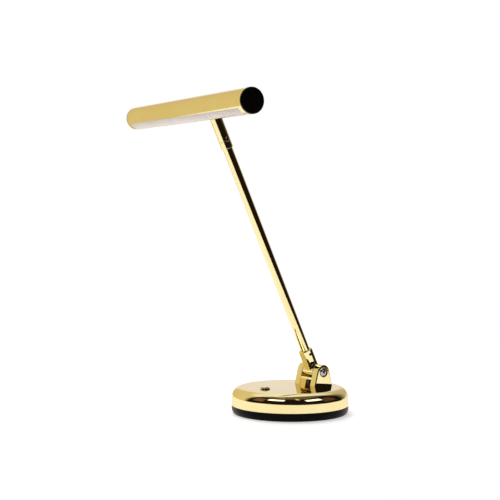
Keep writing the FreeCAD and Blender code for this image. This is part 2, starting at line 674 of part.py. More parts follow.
def swivel_stem():
    """Sleeve that turns on the spindle, coped to the shade, with a threaded neck inside it."""
    foot = -SHADE_RADIUS - STEM_LENGTH
    sleeve = rod(STEM_RADIUS, STEM_LENGTH + STEM_RADIUS, V(0, 0, foot))
    sleeve = sleeve.cut(rod(SHADE_RADIUS + FIT_GAP, FAR, V(-FAR / 2, 0, 0), X_AXIS))
    neck_foot = -SHADE_RADIUS - NECK_REACH
    neck = rod(NECK_RADIUS, 2 * NECK_REACH, V(0, 0, neck_foot))
    body = sleeve.fuse(neck)
    chamber = SPINDLE_PIN_LENGTH + 2 * STEM_LIFT
    cuts = [rod(STEM_BORE, chamber, V(0, 0, foot))]
    cuts.append(rod(SPINDLE_BORE, FAR, V(0, 0, foot)))
    hole_z = foot + STOP_SCREW_RISE
    cuts.append(rod(STOP_SCREW_RADIUS + FIT_GAP, FAR, V(0, 0, hole_z), X_AXIS))
    return body.cut(Part.makeCompound(cuts)).removeSplitter()


def swivel_bush():
    """Nylon liner between the stem and the spindle."""
    foot = -SHADE_RADIUS - STEM_LENGTH
    length = SPINDLE_PIN_LENGTH - STEM_LIFT
    liner = pipe(BUSH_RADIUS, BUSH_BORE, length, V(0, 0, foot))
    hole_z = foot + STOP_SCREW_RISE
    return liner.cut(rod(STOP_SCREW_RADIUS + FIT_GAP, FAR, V(0, 0, hole_z), X_AXIS))


def stop_screw():
    """Grub screw through the stem whose tip runs in the spindle's groove."""
    hole_z = -SHADE_RADIUS - STEM_LENGTH + STOP_SCREW_RISE
    tip = GROOVE_RADIUS + SEAT_GAP
    length = STEM_RADIUS - STOP_SCREW_SINK - tip
    return rod(STOP_SCREW_RADIUS, length, V(tip, 0, hole_z), X_AXIS)


def nut_seat():
    """Distance from the shade's axis to the flat that the stem nut bears on."""
    return math.sqrt(SHADE_BORE ** 2 - STEM_NUT_RADIUS ** 2) - SHADE_WALL


def saddle_washer():
    """Ring that is flat on the nut's side and curved to the inside of the shade tube."""
    seat = nut_seat()
    start = V(0, 0, -SHADE_RADIUS)
    ring = pipe(STEM_NUT_RADIUS, NECK_RADIUS + FIT_GAP, SHADE_RADIUS - seat, start)
    return ring.common(rod(SHADE_BORE - FIT_GAP, FAR, V(-FAR / 2, 0, 0), X_AXIS))


def stem_nut():
    """Round nut on the neck inside the shade."""
    start = V(0, 0, -nut_seat())
    return pipe(STEM_NUT_RADIUS, NECK_RADIUS + FIT_GAP, STEM_NUT_THICK, start)


def slot_wedge(half_angle, x_from, x_to):
    """Sector along X that opens from the shade's axis about the slot's direction."""
    wedge = Part.makeCylinder(FAR / 2, x_to - x_from, V(0, 0, 0), Z_AXIS, 2 * half_angle)
    wedge.rotate(V(0, 0, 0), Z_AXIS, -half_angle)
    wedge.rotate(V(0, 0, 0), Y_AXIS, 90)
    wedge.rotate(V(0, 0, 0), X_AXIS, -SLOT_TURN)
    wedge.translate(V(x_from, 0, 0))
    return wedge


def turned_to_slot(shape):
    """Turns a shape that faces -Z so that it faces the slot."""
    return shape.rotate(V(0, 0, 0), X_AXIS, -SLOT_TURN)


def shade_tube():
    """Thin tube with a light slot along its lower front and a hole for the neck."""
    length = TUBE_NEAR - TUBE_FAR
    tube = pipe(SHADE_RADIUS, SHADE_BORE, length, V(TUBE_FAR, 0, 0), X_AXIS)
    slot = slot_wedge(SLOT_ANGLE / 2, TUBE_FAR - OVERCUT, TUBE_NEAR + OVERCUT)
    neck_hole = rod(NECK_RADIUS + SEAT_GAP, SHADE_RADIUS, V(0, 0, -SHADE_RADIUS - OVERCUT))
    return tube.cut(slot).cut(neck_hole)


def diffuser():
    """Frosted strip that fills the slot, with a flange each side behind the tube's wall."""
    start = TUBE_FAR + SEAT_GAP
    length = TUBE_NEAR - TUBE_FAR - 2 * SEAT_GAP
    gap_angle = math.degrees(SEAT_GAP / SHADE_RADIUS)
    outer = SHADE_RADIUS - DIFFUSER_SINK
    inner = outer - DIFFUSER_WALL
    face = pipe(outer, inner, length, V(start, 0, 0), X_AXIS)
    face = face.common(slot_wedge(SLOT_ANGLE / 2 - gap_angle, start, start + length))
    rim = SHADE_BORE - FIT_GAP
    flange = pipe(rim, rim - DIFFUSER_FLANGE_WALL, length, V(start, 0, 0), X_AXIS)
    flange_half = SLOT_ANGLE / 2 + DIFFUSER_FLANGE
    flange = flange.common(slot_wedge(flange_half, start, start + length))
    return face.fuse(flange).removeSplitter()


def shade_cap(end):
    """Turned end cap: a rounded hollow button with a split spigot inside the tube."""
    body = rod(SHADE_RADIUS, CAP_LENGTH, V(0, 0, 0), X_AXIS)
    rim = [edge for edge in body.Edges if edge.BoundBox.XMin > CAP_LENGTH - FIT_GAP]
    body = body.makeFillet(CAP_ROUND, rim)
    spigot = SHADE_BORE - SEAT_GAP
    hollow = spigot - CAP_SPIGOT_WALL
    tail = pipe(spigot, hollow, CAP_SPIGOT, V(-CAP_SPIGOT, 0, 0), X_AXIS)
    body = body.cut(rod(hollow, CAP_LENGTH - CAP_FACE, V(0, 0, 0), X_AXIS))
    if end < 0:
        body = body.mirror(V(0, 0, 0), X_AXIS)
        tail = tail.mirror(V(0, 0, 0), X_AXIS)
    relief = slot_wedge(SLOT_ANGLE / 2 + 2 * DIFFUSER_FLANGE, -FAR / 2, FAR / 2)
    body = body.fuse(tail.cut(relief))
    body.translate(V(TUBE_NEAR if end > 0 else TUBE_FAR, 0, 0))
    return body


def light_span():
    """First and last X of what lies between the spigots of the two caps."""
    return TUBE_FAR + CAP_SPIGOT + SOFT_GAP, TUBE_NEAR - CAP_SPIGOT - SOFT_GAP


def led_channel():
    """Extruded aluminium rail across the shade, with two ribs on its back."""
    first, last = light_span()
    length = last - first
    middle = (first + last) / 2
    half_width = math.sqrt((SHADE_BORE - FIT_GAP) ** 2 - CHANNEL_SET_BACK ** 2)
    plate_z = CHANNEL_SET_BACK - CHANNEL_PLATE / 2
    plate = slab(length, 2 * half_width, CHANNEL_PLATE, V(middle, 0, plate_z))
    rib_z = CHANNEL_SET_BACK + CHANNEL_RIB_DEPTH / 2
    ribs = []
    for side in (-1, 1):
        centre = V(middle, side * CHANNEL_RIB_SPREAD, rib_z)
        ribs.append(slab(length, CHANNEL_PLATE, CHANNEL_RIB_DEPTH, centre))
    return turned_to_slot(plate.fuse(ribs))


def led_strip():
    """Circuit strip on the rail with its row of LEDs, facing the slot."""
    first, last = light_span()
    middle = (first + last) / 2
    top = CHANNEL_SET_BACK - CHANNEL_PLATE
    strip = slab(last - first, STRIP_WIDTH, STRIP_THICK, V(middle, 0, top - STRIP_THICK / 2))
    pitch = (last - first) / LED_COUNT
    chips = []
    for i in range(LED_COUNT):
        centre = V(first + (i + 0.5) * pitch, 0, top - STRIP_THICK - LED_HEIGHT / 2)
        chips.append(slab(LED_SIDE, LED_SIDE, LED_HEIGHT, centre))
    return turned_to_slot(strip.fuse(chips))


def switch_body():
    """Housing below the cover with a clamping nut, a bored neck and two tabs."""
    body = rod(SWITCH_BODY_RADIUS, SWITCH_BODY_HEIGHT, V(0, SWITCH_Y, SWITCH_FLOOR))
    nut = rod(SWITCH_NUT_RADIUS, SWITCH_NUT_HEIGHT, V(0, SWITCH_Y, SWITCH_SHOULDER))
    neck_top = BEZEL_TOP - BEZEL_HEIGHT / 4
    neck_length = neck_top - SWITCH_SHOULDER
    neck = rod(SWITCH_NECK_RADIUS, neck_length, V(0, SWITCH_Y, SWITCH_SHOULDER))
    body = body.fuse([nut, neck])
    for side in (-1, 1):
        centre = V(side * SWITCH_BODY_RADIUS / 2, SWITCH_Y, SWITCH_FLOOR - SWITCH_TAB_LENGTH / 2)
        body = body.fuse(slab(SWITCH_TAB_THICK, SWITCH_TAB_WIDTH, SWITCH_TAB_LENGTH, centre))
    chamber = BUTTON_FOOT + BUTTON_FLANGE_HEIGHT + SEAT_GAP - SPRING_SEAT
    cuts = [rod(SWITCH_BORE, FAR, V(0, SWITCH_Y, SPRING_SEAT))]
    cuts.append(rod(SWITCH_CHAMBER, chamber, V(0, SWITCH_Y, SPRING_SEAT)))
    return body.cut(Part.makeCompound(cuts)).removeSplitter()


def switch_bezel():
    """Ring nut round the neck on top of the cover, with a bevelled edge."""
    ring = rod(BEZEL_RADIUS, BEZEL_HEIGHT, V(0, SWITCH_Y, BASE_HEIGHT))
    rim = [edge for edge in ring.Edges if edge.BoundBox.ZMin > BEZEL_TOP - FIT_GAP]
    ring = ring.makeChamfer(BEZEL_BEVEL, rim)
    return ring.cut(rod(SWITCH_NECK_RADIUS + FIT_GAP, FAR, V(0, SWITCH_Y, BASE_HEIGHT)))


def switch_button():
    """Domed plunger with a flange that keeps it in and a bore for its spring."""
    dome_foot = BUTTON_TOP - BUTTON_DOME
    dome_radius = (BUTTON_RADIUS ** 2 + BUTTON_DOME ** 2) / (2 * BUTTON_DOME)
    sweep = math.asin(BUTTON_RADIUS / dome_radius) / 2
    dome_centre = BUTTON_TOP - dome_radius
    middle = V(dome_radius * math.sin(sweep), 0, dome_centre + dome_radius * math.cos(sweep))
    flange_radius = BUTTON_RADIUS + BUTTON_FLANGE
    flange_top = BUTTON_FOOT + BUTTON_FLANGE_HEIGHT
    side = [
        V(BUTTON_RADIUS, 0, dome_foot),
        V(BUTTON_RADIUS, 0, flange_top),
        V(flange_radius, 0, flange_top),
        V(flange_radius, 0, BUTTON_FOOT),
        V(BUTTON_BORE, 0, BUTTON_FOOT),
        V(BUTTON_BORE, 0, SPRING_TOP),
        V(0, 0, SPRING_TOP),
        V(0, 0, BUTTON_TOP),
    ]
    crown = arc(V(0, 0, BUTTON_TOP), middle, V(BUTTON_RADIUS, 0, dome_foot))
    plunger = spun([crown] + lines_through(side))
    plunger.translate(V(0, SWITCH_Y, 0))
    return plunger


def switch_spring():
    """Coil spring of six-sided wire between the housing's floor and the plunger's bore."""
    height = SPRING_TOP - SPRING_SEAT - 2 * SPRING_WIRE - 2 * SEAT_GAP
    path = Part.makeHelix(height / SPRING_TURNS, height, SPRING_RADIUS)
    turns = [math.radians(60 * i) for i in range(7)]
    corners = [V(SPRING_WIRE * math.cos(t), 0, SPRING_WIRE * math.sin(t)) for t in turns]
    section = Part.makePolygon([V(SPRING_RADIUS, 0, 0) + corner for corner in corners])
    coil = Part.Wire(path).makePipeShell([section], True, True)
    coil.translate(V(0, SWITCH_Y, SPRING_SEAT + SPRING_WIRE + SEAT_GAP))
    return coil


def placed(shape, place):
    """The shape moved from its own frame into the lamp's."""
    moved = shape.copy()
    moved.Placement = place.multiply(moved.Placement)
    return moved


base_parts = {
    "base_cover": base_cover(),
    "base_skirt": base_skirt(),
    "ballast_weight": ballast_weight(),
    "bottom_plate": bottom_plate(),
    "foot_pad": foot_pad(),
    "bottom_screws": bottom_screws(),
    "driver_board": driver_board(),
    "board_screws": board_screws(),
    "cord_grommet": cord_grommet(),
    "right_cheek": cheek(1),
    "left_cheek": cheek(-1),
    "cheek_screws": cheek_screws(),
    "friction_washers": friction_washers(),
    "switch_body": switch_body(),
    "switch_bezel": switch_bezel(),
    "switch_button": switch_button(),
    "switch_spring": switch_spring(),
}

arm_parts = {
    "pivot_screws": pivot_screws(),
    "knuckle": knuckle(),
    "knuckle_screws": knuckle_screws(),
    "arm_tube": arm_tube(),
    "arm_cable": arm_cable(),
    "swivel_collar": swivel_collar(),
    "swivel_spindle": swivel_spindle(),
}

shade_parts = {
    "swivel_stem": swivel_stem(),
    "swivel_bush": swivel_bush(),
    "stop_screw": stop_screw(),
    "saddle_washer": saddle_washer(),
    "stem_nut": stem_nut(),
    "shade_tube": shade_tube(),
    "diffuser": diffuser(),
    "near_cap": shade_cap(1),
    "far_cap": shade_cap(-1),
    "led_channel": led_channel(),
    "led_strip": led_strip(),
}

os.makedirs("parts", exist_ok=True)
groups = [(base_parts, Placement()), (arm_parts, ARM_PLACE), (shade_parts, SHADE_PLACE)]
for parts, place in groups:
    for name, shape in parts.items():
        placed(shape, place).exportStep("parts/" + name + ".step")
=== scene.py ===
import math

import bmesh
import bpy
import numpy as np
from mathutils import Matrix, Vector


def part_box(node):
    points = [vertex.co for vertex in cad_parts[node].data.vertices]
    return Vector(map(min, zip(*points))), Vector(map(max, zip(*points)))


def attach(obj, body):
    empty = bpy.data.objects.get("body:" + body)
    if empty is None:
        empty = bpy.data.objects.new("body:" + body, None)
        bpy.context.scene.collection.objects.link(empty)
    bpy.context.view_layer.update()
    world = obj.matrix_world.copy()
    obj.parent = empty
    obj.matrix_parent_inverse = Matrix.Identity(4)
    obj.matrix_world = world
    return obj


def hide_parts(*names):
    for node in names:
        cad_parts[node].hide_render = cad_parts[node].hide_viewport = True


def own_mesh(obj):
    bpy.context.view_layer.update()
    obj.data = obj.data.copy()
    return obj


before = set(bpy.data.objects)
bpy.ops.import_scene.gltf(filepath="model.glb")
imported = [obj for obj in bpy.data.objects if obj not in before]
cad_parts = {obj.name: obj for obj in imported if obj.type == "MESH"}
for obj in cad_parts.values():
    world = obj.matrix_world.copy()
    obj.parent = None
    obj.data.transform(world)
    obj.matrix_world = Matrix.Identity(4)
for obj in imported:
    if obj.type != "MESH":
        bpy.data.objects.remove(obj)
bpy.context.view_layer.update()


# Base cover: a round dish of spun brass turned upside down, polished and lacquered.
# It has a hole for the switch and four under the cheeks for the screws that hold them.
COVER_RADIUS = 82.5
COVER_TOP = 37.0
COVER_SHOULDER = 14.0
COVER_WALL = 1.8
COVER_RIM = 12.0
SWITCH_Y = -43.5
SWITCH_HOLE = 5.7
CHEEK_SCREWS = [(x, y) for x in (-17.75, 17.75) for y in (33.0, 52.0)]
CHEEK_SCREW_HOLE = 2.6
COVER_EDGE = 0.3
COVER_RINGS = 34
COVER_COLUMNS = 256
SLIVER = 0.01
DRILL_FOOT, DRILL_HEAD = 30.0, 45.0


def skin(name, grid, loop=False, crease=28.0):
    """Closed mesh over a grid (rows, columns, xyz) in millimetres.

    Quad (i, j) joins rows i and i + 1 to columns j and j + 1. The columns run round and meet,
    and with loop set the rows do too. Points that fall together, as at a pole, are merged. The
    sign of the sum of the faces' cone volumes says whether the faces look out or are turned.
    """
    rows, columns = grid.shape[:2]
    index = np.arange(rows * columns).reshape(rows, columns)
    upper = index if loop else index[:-1]
    lower = np.roll(index, -1, 0) if loop else index[1:]
    quads = np.stack([upper, lower, np.roll(lower, -1, 1), np.roll(upper, -1, 1)], -1)
    quads = quads.reshape(-1, 4)
    points = grid.reshape(-1, 3) * 0.001
    a, b, c, d = (points[quads[:, k]] - points.mean(0) for k in range(4))
    volume = np.einsum("ij,ij->i", a, np.cross(b, c) + np.cross(c, d)).sum()
    if volume < 0:
        quads = quads[:, ::-1]
    mesh = bpy.data.meshes.new(name)
    mesh.from_pydata(points.tolist(), [], quads.tolist())
    merged = bmesh.new()
    merged.from_mesh(mesh)
    bmesh.ops.remove_doubles(merged, verts=merged.verts, dist=2e-7)
    merged.to_mesh(mesh)
    merged.free()
    piece = bpy.data.objects.new(name, mesh)
    bpy.context.scene.collection.objects.link(piece)
    smooth(piece, crease)
    return piece


def smooth(piece, crease=28.0):
    """Smooth shading that breaks where two faces meet at more than crease degrees."""
    piece.data.shade_smooth()
    piece.data.set_sharp_from_angle(angle=math.radians(crease))


def outline(corners, steps=7, guard=0.25, ring=False):
    """Profile through corners (a, b, fillet): each fillet is an arc between its two tangent
    points, centred on the corner's bisector at fillet over the sine of the half angle, and
    each straight run has a guard point close to both ends so that its shading stays flat."""
    spots = np.array([corner[:2] for corner in corners], float)
    count = len(spots)
    runs = []
    for k, corner in enumerate(corners):
        here = spots[k]
        if corner[2] == 0 or (not ring and k in (0, count - 1)):
            runs.append(here[None])
            continue
        back = spots[k - 1] - here
        ahead = spots[(k + 1) % count] - here
        back, ahead = back / np.hypot(*back), ahead / np.hypot(*ahead)
        half = math.acos(np.clip(back @ ahead, -1, 1)) / 2
        middle = here + (back + ahead) / np.hypot(*(back + ahead)) * corner[2] / math.sin(half)
        first = here + back * corner[2] / math.tan(half) - middle
        last = here + ahead * corner[2] / math.tan(half) - middle
        sweep = math.pi - 2 * half
        part = np.linspace(0, 1, steps + 1)[:, None]
        spoke = np.sin((1 - part) * sweep) * first + np.sin(part * sweep) * last
        runs.append(middle + spoke / math.sin(sweep))
    points = []
    for k, run in enumerate(runs):
        points.append(run)
        if k + 1 == count and not ring:
            break
        start, stop = run[-1], runs[(k + 1) % count][0]
        length = np.hypot(*(stop - start))
        if length > 4 * guard:
            near = (stop - start) / length * guard
            points.append(np.array([start + near, stop - near]))
    return np.concatenate(points)


def turned(profile, columns=160, centre=(0.0, 0.0)):
    """Grid of a profile (radius, height) turned about an upright axis: x and y are the centre
    plus radius times the cosine and sine of the turn, and z is the height."""
    turn = np.arange(columns) * 2 * math.pi / columns
    radius, height = profile[:, 0, None], profile[:, 1, None]
    x = centre[0] + radius * np.cos(turn)
    y = centre[1] + radius * np.sin(turn)
    return np.stack([x, y, height + 0 * turn], -1)


def along_x(grid):
    """The grid with its upright axis laid along +X: (x, y, z) becomes (z, x, y)."""
    return grid[..., [2, 0, 1]]


def carved(piece, tools, operation="DIFFERENCE"):
    """The piece with the tools cut away from it or joined to it, as one plain mesh."""
    for tool in tools:
        step = piece.modifiers.new("step", "BOOLEAN")
        step.operation = operation
        step.solver = "EXACT"
        step.object = tool
    bpy.context.view_layer.update()
    evaluated = piece.evaluated_get(bpy.context.evaluated_depsgraph_get())
    mesh = bpy.data.meshes.new_from_object(evaluated)
    piece.modifiers.clear()
    piece.data = mesh
    for tool in tools:
        bpy.data.objects.remove(tool)
    smooth(piece)
    return piece


def pin(radius, low, high, centre=(0.0, 0.0), columns=64, lay=None):
    """A closed round bar, used to drill: its profile runs pole, rim, rim, pole."""
    profile = np.array([(0, low), (radius, low), (radius, high), (0, high)], float)
    grid = turned(profile, columns, centre)
    return skin("pin", lay(grid) if lay else grid)


def add(tree, kind, inputs=None, **settings):
    """One shader node. Each input is given a plain value or a socket to be linked from."""
    made = tree.nodes.new(kind)
    for key, value in settings.items():
        setattr(made, key, value)
    for key, value in (inputs or {}).items():
        if isinstance(value, bpy.types.NodeSocket):
            tree.links.new(value, made.inputs[key])
        else:
            made.inputs[key].default_value = value
    return made


def effect(name, inputs, outputs):
    """An empty shader node group with named inputs (name, kind, default) and outputs."""
    tree = bpy.data.node_groups.new(name, "ShaderNodeTree")
    for label, kind, default in inputs:
        socket = tree.interface.new_socket(label, in_out="INPUT", socket_type=kind)
        if default is not None:
            socket.default_value = default
    for label in outputs:
        tree.interface.new_socket(label, in_out="OUTPUT", socket_type="NodeSocketFloat")
    entry = tree.nodes.new("NodeGroupInput")
    leave = tree.nodes.new("NodeGroupOutput")
    return tree, entry.outputs, leave.inputs


# drift: soft patches, a value that wanders between Low and High over a distance of 1 / Scale
drift, given, gives = effect(
    "drift",
    [("Vector", "NodeSocketVector", None), ("Scale", "NodeSocketFloat", 60.0),
     ("Low", "NodeSocketFloat", 0.0), ("High", "NodeSocketFloat", 1.0)],
    ["Value"])
cloud = add(drift, "ShaderNodeTexNoise", {
    "Vector": given["Vector"], "Scale": given["Scale"], "Detail": 4.0, "Roughness": 0.55})
spread = add(drift, "ShaderNodeMapRange", {
    "Value": cloud.outputs["Fac"], "From Min": 0.32, "From Max": 0.68,
    "To Min": given["Low"], "To Max": given["High"]})
drift.links.new(spread.outputs["Result"], gives["Value"])

# grain: a fine even grain with larger waves in it, as height
grain, given, gives = effect(
    "grain",
    [("Vector", "NodeSocketVector", None), ("Scale", "NodeSocketFloat", 2500.0),
     ("Wave", "NodeSocketFloat", 0.3)],
    ["Height"])
fine = add(grain, "ShaderNodeTexNoise", {
    "Vector": given["Vector"], "Scale": given["Scale"], "Detail": 3.0, "Roughness": 0.6})
wide = add(grain, "ShaderNodeMath", {0: given["Scale"], 1: 0.11}, operation="MULTIPLY")
swell = add(grain, "ShaderNodeTexNoise", {
    "Vector": given["Vector"], "Scale": wide.outputs[0], "Detail": 2.0})
lifted = add(grain, "ShaderNodeMath", {
    0: swell.outputs["Fac"], 1: given["Wave"], 2: fine.outputs["Fac"]}, operation="MULTIPLY_ADD")
grain.links.new(lifted.outputs[0], gives["Height"])

# rubbed: hairline marks of polishing or brushing, long in the direction of Stretch's low value
rubbed, given, gives = effect(
    "rubbed",
    [("Vector", "NodeSocketVector", None), ("Stretch", "NodeSocketVector", (1.0, 1.0, 1.0)),
     ("Scale", "NodeSocketFloat", 400.0)],
    ["Height"])
pulled = add(rubbed, "ShaderNodeVectorMath", {
    0: given["Vector"], 1: given["Stretch"]}, operation="MULTIPLY")
hair = add(rubbed, "ShaderNodeTexNoise", {
    "Vector": pulled.outputs[0], "Scale": given["Scale"], "Detail": 5.0, "Roughness": 0.65})
rubbed.links.new(hair.outputs["Fac"], gives["Height"])


def placed_group(tree, group, inputs):
    """A node that uses one of the effects with its own values."""
    made = tree.nodes.new("ShaderNodeGroup")
    made.node_tree = group
    for key, value in inputs.items():
        if isinstance(value, bpy.types.NodeSocket):
            tree.links.new(value, made.inputs[key])
        else:
            made.inputs[key].default_value = value
    return made


def finish(name, light, dark, patch, rough, texture, bump, **sockets):
    """A material whose colour drifts between two tones in patches 1 / patch metres wide, whose
    roughness wanders over a range, and whose texture (an effect and its values) is a bump."""
    made = bpy.data.materials.new(name)
    made.use_nodes = True
    tree = made.node_tree
    shader = tree.nodes["Principled BSDF"]
    place = tree.nodes.new("ShaderNodeTexCoord").outputs["Object"]
    tone = placed_group(tree, drift, {"Vector": place, "Scale": patch})
    colour = add(tree, "ShaderNodeMix", {
        0: tone.outputs["Value"], 6: (*light, 1.0), 7: (*dark, 1.0)}, data_type="RGBA")
    tree.links.new(colour.outputs[2], shader.inputs["Base Color"])
    haze = placed_group(tree, drift, {
        "Vector": place, "Scale": patch * 2.3, "Low": rough[0], "High": rough[1]})
    tree.links.new(haze.outputs["Value"], shader.inputs["Roughness"])
    group, values = texture
    raised = placed_group(tree, group, {"Vector": place, **values})
    relief = add(tree, "ShaderNodeBump", {
        "Height": raised.outputs["Height"], "Strength": bump[0], "Distance": bump[1]})
    tree.links.new(relief.outputs["Normal"], shader.inputs["Normal"])
    for key, value in sockets.items():
        shader.inputs[key.replace("_", " ")].default_value = value
    return made


def dressed(piece, material, slot, body, *nodes):
    """Gives a new piece its material and its body, and hides the CAD nodes it stands for. The slot
    is not used.
    """
    piece.data.materials.clear()
    piece.data.materials.append(material)
    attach(piece, body)
    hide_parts(*nodes)
    return piece


def coat(node, material):
    """Gives a CAD node that stays as it is its material."""
    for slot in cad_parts[node].material_slots:
        slot.material = material


brass = finish(
    "polished_brass", (0.91, 0.81, 0.45), (0.89, 0.77, 0.40), 22.0, (0.035, 0.085),
    (rubbed, {"Scale": 900.0, "Stretch": (1.0, 1.0, 1.0)}), (0.015, 0.0002), Metallic=1.0,
    Specular_Tint=(0.88, 0.80, 0.75, 1.0))


def nested_rings(height, start, stop):
    """Circles that run evenly from the switch's hole to the start of the shoulder: part t has
    its centre at (1 - t) times the hole's and its radius t of the way between the two."""
    part = np.linspace(start, stop, COVER_RINGS)[:, None]
    turn = np.arange(COVER_COLUMNS) * 2 * math.pi / COVER_COLUMNS
    radius = SWITCH_HOLE + part * (COVER_RADIUS - COVER_SHOULDER - SWITCH_HOLE)
    x = radius * np.cos(turn)
    y = (1 - part) * SWITCH_Y + radius * np.sin(turn)
    return np.stack([x, y, np.full_like(x, height)], -1)


roof = COVER_TOP - COVER_WALL
outside = outline([
    (COVER_RADIUS - COVER_SHOULDER, COVER_TOP, 0),
    (COVER_RADIUS, COVER_TOP, COVER_SHOULDER - SLIVER),
    (COVER_RADIUS, COVER_RIM, COVER_EDGE),
    (COVER_RADIUS - COVER_WALL, COVER_RIM, COVER_EDGE),
    (COVER_RADIUS - COVER_WALL, roof, COVER_SHOULDER - COVER_WALL - SLIVER),
    (COVER_RADIUS - COVER_SHOULDER, roof, 0)], steps=26)
cover = skin("spun_cover", np.concatenate([
    nested_rings(COVER_TOP, 0, 1)[:-1],
    turned(outside, COVER_COLUMNS),
    nested_rings(roof, 1, 0)[1:]]), loop=True)
carved(cover, [
    pin(CHEEK_SCREW_HOLE, DRILL_FOOT, DRILL_HEAD, place, 48) for place in CHEEK_SCREWS])
dressed(cover, brass, "polished_brass", "base", "base_cover")


# Base skirt: a ring moulded in black plastic that the cover's rim stands on. Its side swells
# out from the foot, and a round hole with a sunk flat at the back lets the cord in.
SKIRT_RADIUS = 82.3
SKIRT_FOOT = 79.3
SKIRT_BELLY = 8.0
SKIRT_LOW = 0.8
SKIRT_TOP = 12.0
LIP_RADIUS = 80.5
LIP_TOP = 15.0
SKIRT_BORE = 78.4
LEDGE_RADIUS = 74.0
LEDGE_TOP = 5.0
PLATE_TOP = 2.6
PLATE_BORE = 77.6
INLET_Z = 7.4
INLET_RADIUS = 3.55
INLET_RIM_RADIUS = 4.45
INLET_RIM_Y = 80.6
NOTCH_LOW = (-5.0, 72.0, PLATE_TOP)
NOTCH_HIGH = (5.0, SKIRT_BORE, 12.2)

black_moulding = finish(
    "black_moulding", (0.0036, 0.003, 0.003), (0.0025, 0.002, 0.002), 35.0, (0.26, 0.36),
    (grain, {"Scale": 2600.0}), (0.12, 0.0002), Specular_IOR_Level=0.06)

rise = SKIRT_BELLY - SKIRT_LOW
tuck = SKIRT_RADIUS - SKIRT_FOOT
swell_radius = (tuck ** 2 + rise ** 2) / (2 * tuck)
sweep = np.linspace(math.asin(rise / swell_radius), 0, 20)
belly = np.stack([
    SKIRT_RADIUS - swell_radius * (1 - np.cos(sweep)),
    SKIRT_BELLY - swell_radius * np.sin(sweep)], -1)
rest = outline([
    (*belly[-1], 0), (SKIRT_RADIUS, SKIRT_TOP, 0.25), (LIP_RADIUS, SKIRT_TOP, 0),
    (LIP_RADIUS, LIP_TOP, 0.4), (SKIRT_BORE, LIP_TOP, 0.4), (SKIRT_BORE, LEDGE_TOP, 0),
    (LEDGE_RADIUS, LEDGE_TOP, 0), (LEDGE_RADIUS, PLATE_TOP, 0), (PLATE_BORE, PLATE_TOP, 0),
    (PLATE_BORE, SKIRT_LOW, 0.2), (*belly[0], 0)], steps=4)
skirt = skin("black_skirt", turned(np.concatenate([belly, rest[1:-1]]), 240), loop=True)


def along_y(grid):
    """The grid with its upright axis laid along +Y: (x, y, z) becomes (y, z, x)."""
    return grid[..., [1, 2, 0]]


def inlet(grid):
    """The grid laid along +Y at the height of the cord's hole."""
    return along_y(grid) + (0, 0, INLET_Z)


def box(low, high):
    """Grid of a box between two corners: a pole in the middle of its bottom, the four corners
    of the bottom, the four of the top and a pole in the middle of the top."""
    low, high = np.array(low), np.array(high)
    share = np.array([(1, 1, 0), (0, 1, 0), (0, 0, 0), (1, 0, 0)], float)
    middle = np.array([(0.5, 0.5, 0)] * 4)
    up = np.array([0, 0, 1])
    return low + np.stack([middle, share, share + up, middle + up]) * (high - low)


carved(skirt, [
    pin(INLET_RADIUS, 70, 90, lay=inlet), pin(INLET_RIM_RADIUS, INLET_RIM_Y, 90, lay=inlet),
    skin("notch", box(NOTCH_LOW, NOTCH_HIGH))])
dressed(skirt, black_moulding, "skirt_black", "base", "base_skirt")


# Weight: an iron casting that fills the base, painted black, with pockets for the board and
# the switch. The cheeks are screwed to it from below.
coat("ballast_weight", finish(
    "cast_iron", (0.05, 0.05, 0.052), (0.028, 0.028, 0.03), 45.0, (0.45, 0.7),
    (grain, {"Scale": 900.0, "Wave": 0.8}), (0.5, 0.0006)))


# Bottom plate: a punched disc of zinc plated steel, brushed. Three pan head screws go through
# it into the weight, and so hold the base together.
zinc = finish(
    "zinc_plate", (0.62, 0.62, 0.63), (0.5, 0.5, 0.5), 60.0, (0.28, 0.42),
    (rubbed, {"Scale": 700.0, "Stretch": (1.0, 0.05, 1.0)}), (0.06, 0.0002), Metallic=1.0)
bright_zinc = finish(
    "screw_zinc", (0.66, 0.66, 0.68), (0.52, 0.52, 0.53), 300.0, (0.16, 0.3),
    (rubbed, {"Scale": 1500.0}), (0.05, 0.0001), Metallic=1.0)
coat("bottom_plate", zinc)
coat("bottom_screws", bright_zinc)


# Foot pad: a disc cut from black rubber sheet and stuck under the plate, so that the lamp
# stands firm and does not scratch.
coat("foot_pad", finish(
    "sheet_rubber", (0.028, 0.028, 0.028), (0.018, 0.018, 0.018), 80.0, (0.7, 0.85),
    (grain, {"Scale": 1600.0, "Wave": 0.5}), (0.35, 0.0003)))


# Driver board: green circuit board with its transformer, chip and capacitors, screwed to the
# weight with two small screws.
coat("driver_board", finish(
    "solder_mask", (0.03, 0.16, 0.07), (0.02, 0.11, 0.05), 400.0, (0.2, 0.4),
    (grain, {"Scale": 3000.0}), (0.1, 0.0001)))
coat("board_screws", bright_zinc)


# Cord inlet: a bush of black rubber, moulded with a groove that grips the skirt's wall and a
# flange outside. The cord itself is not part of this model.
coat("cord_grommet", finish(
    "bush_rubber", (0.022, 0.021, 0.021), (0.014, 0.014, 0.014), 120.0, (0.5, 0.65),
    (grain, {"Scale": 2200.0}), (0.2, 0.0002)))


# Cheeks: the two ears of the hinge, milled from brass bar, rounded outside and polished. Each
# has a tapering foot and a round head with a sunk seat for the pivot screw.
PIVOT_Y = 42.5
PIVOT_Z = 56.0
CHEEK_IN = 12.0
CHEEK_OUT = 23.5
CHEEK_HEAD = 10.5
CHEEK_FOOT_HALF = 16.0
CHEEK_ROUND = 1.2
SCREW_SEAT_X = 19.5
SCREW_SEAT_RADIUS = 6.9
PIVOT_BORE = 4.05
CHEEK_SCREW_BORE = 2.55
CHEEK_SCREW_END = 49.0


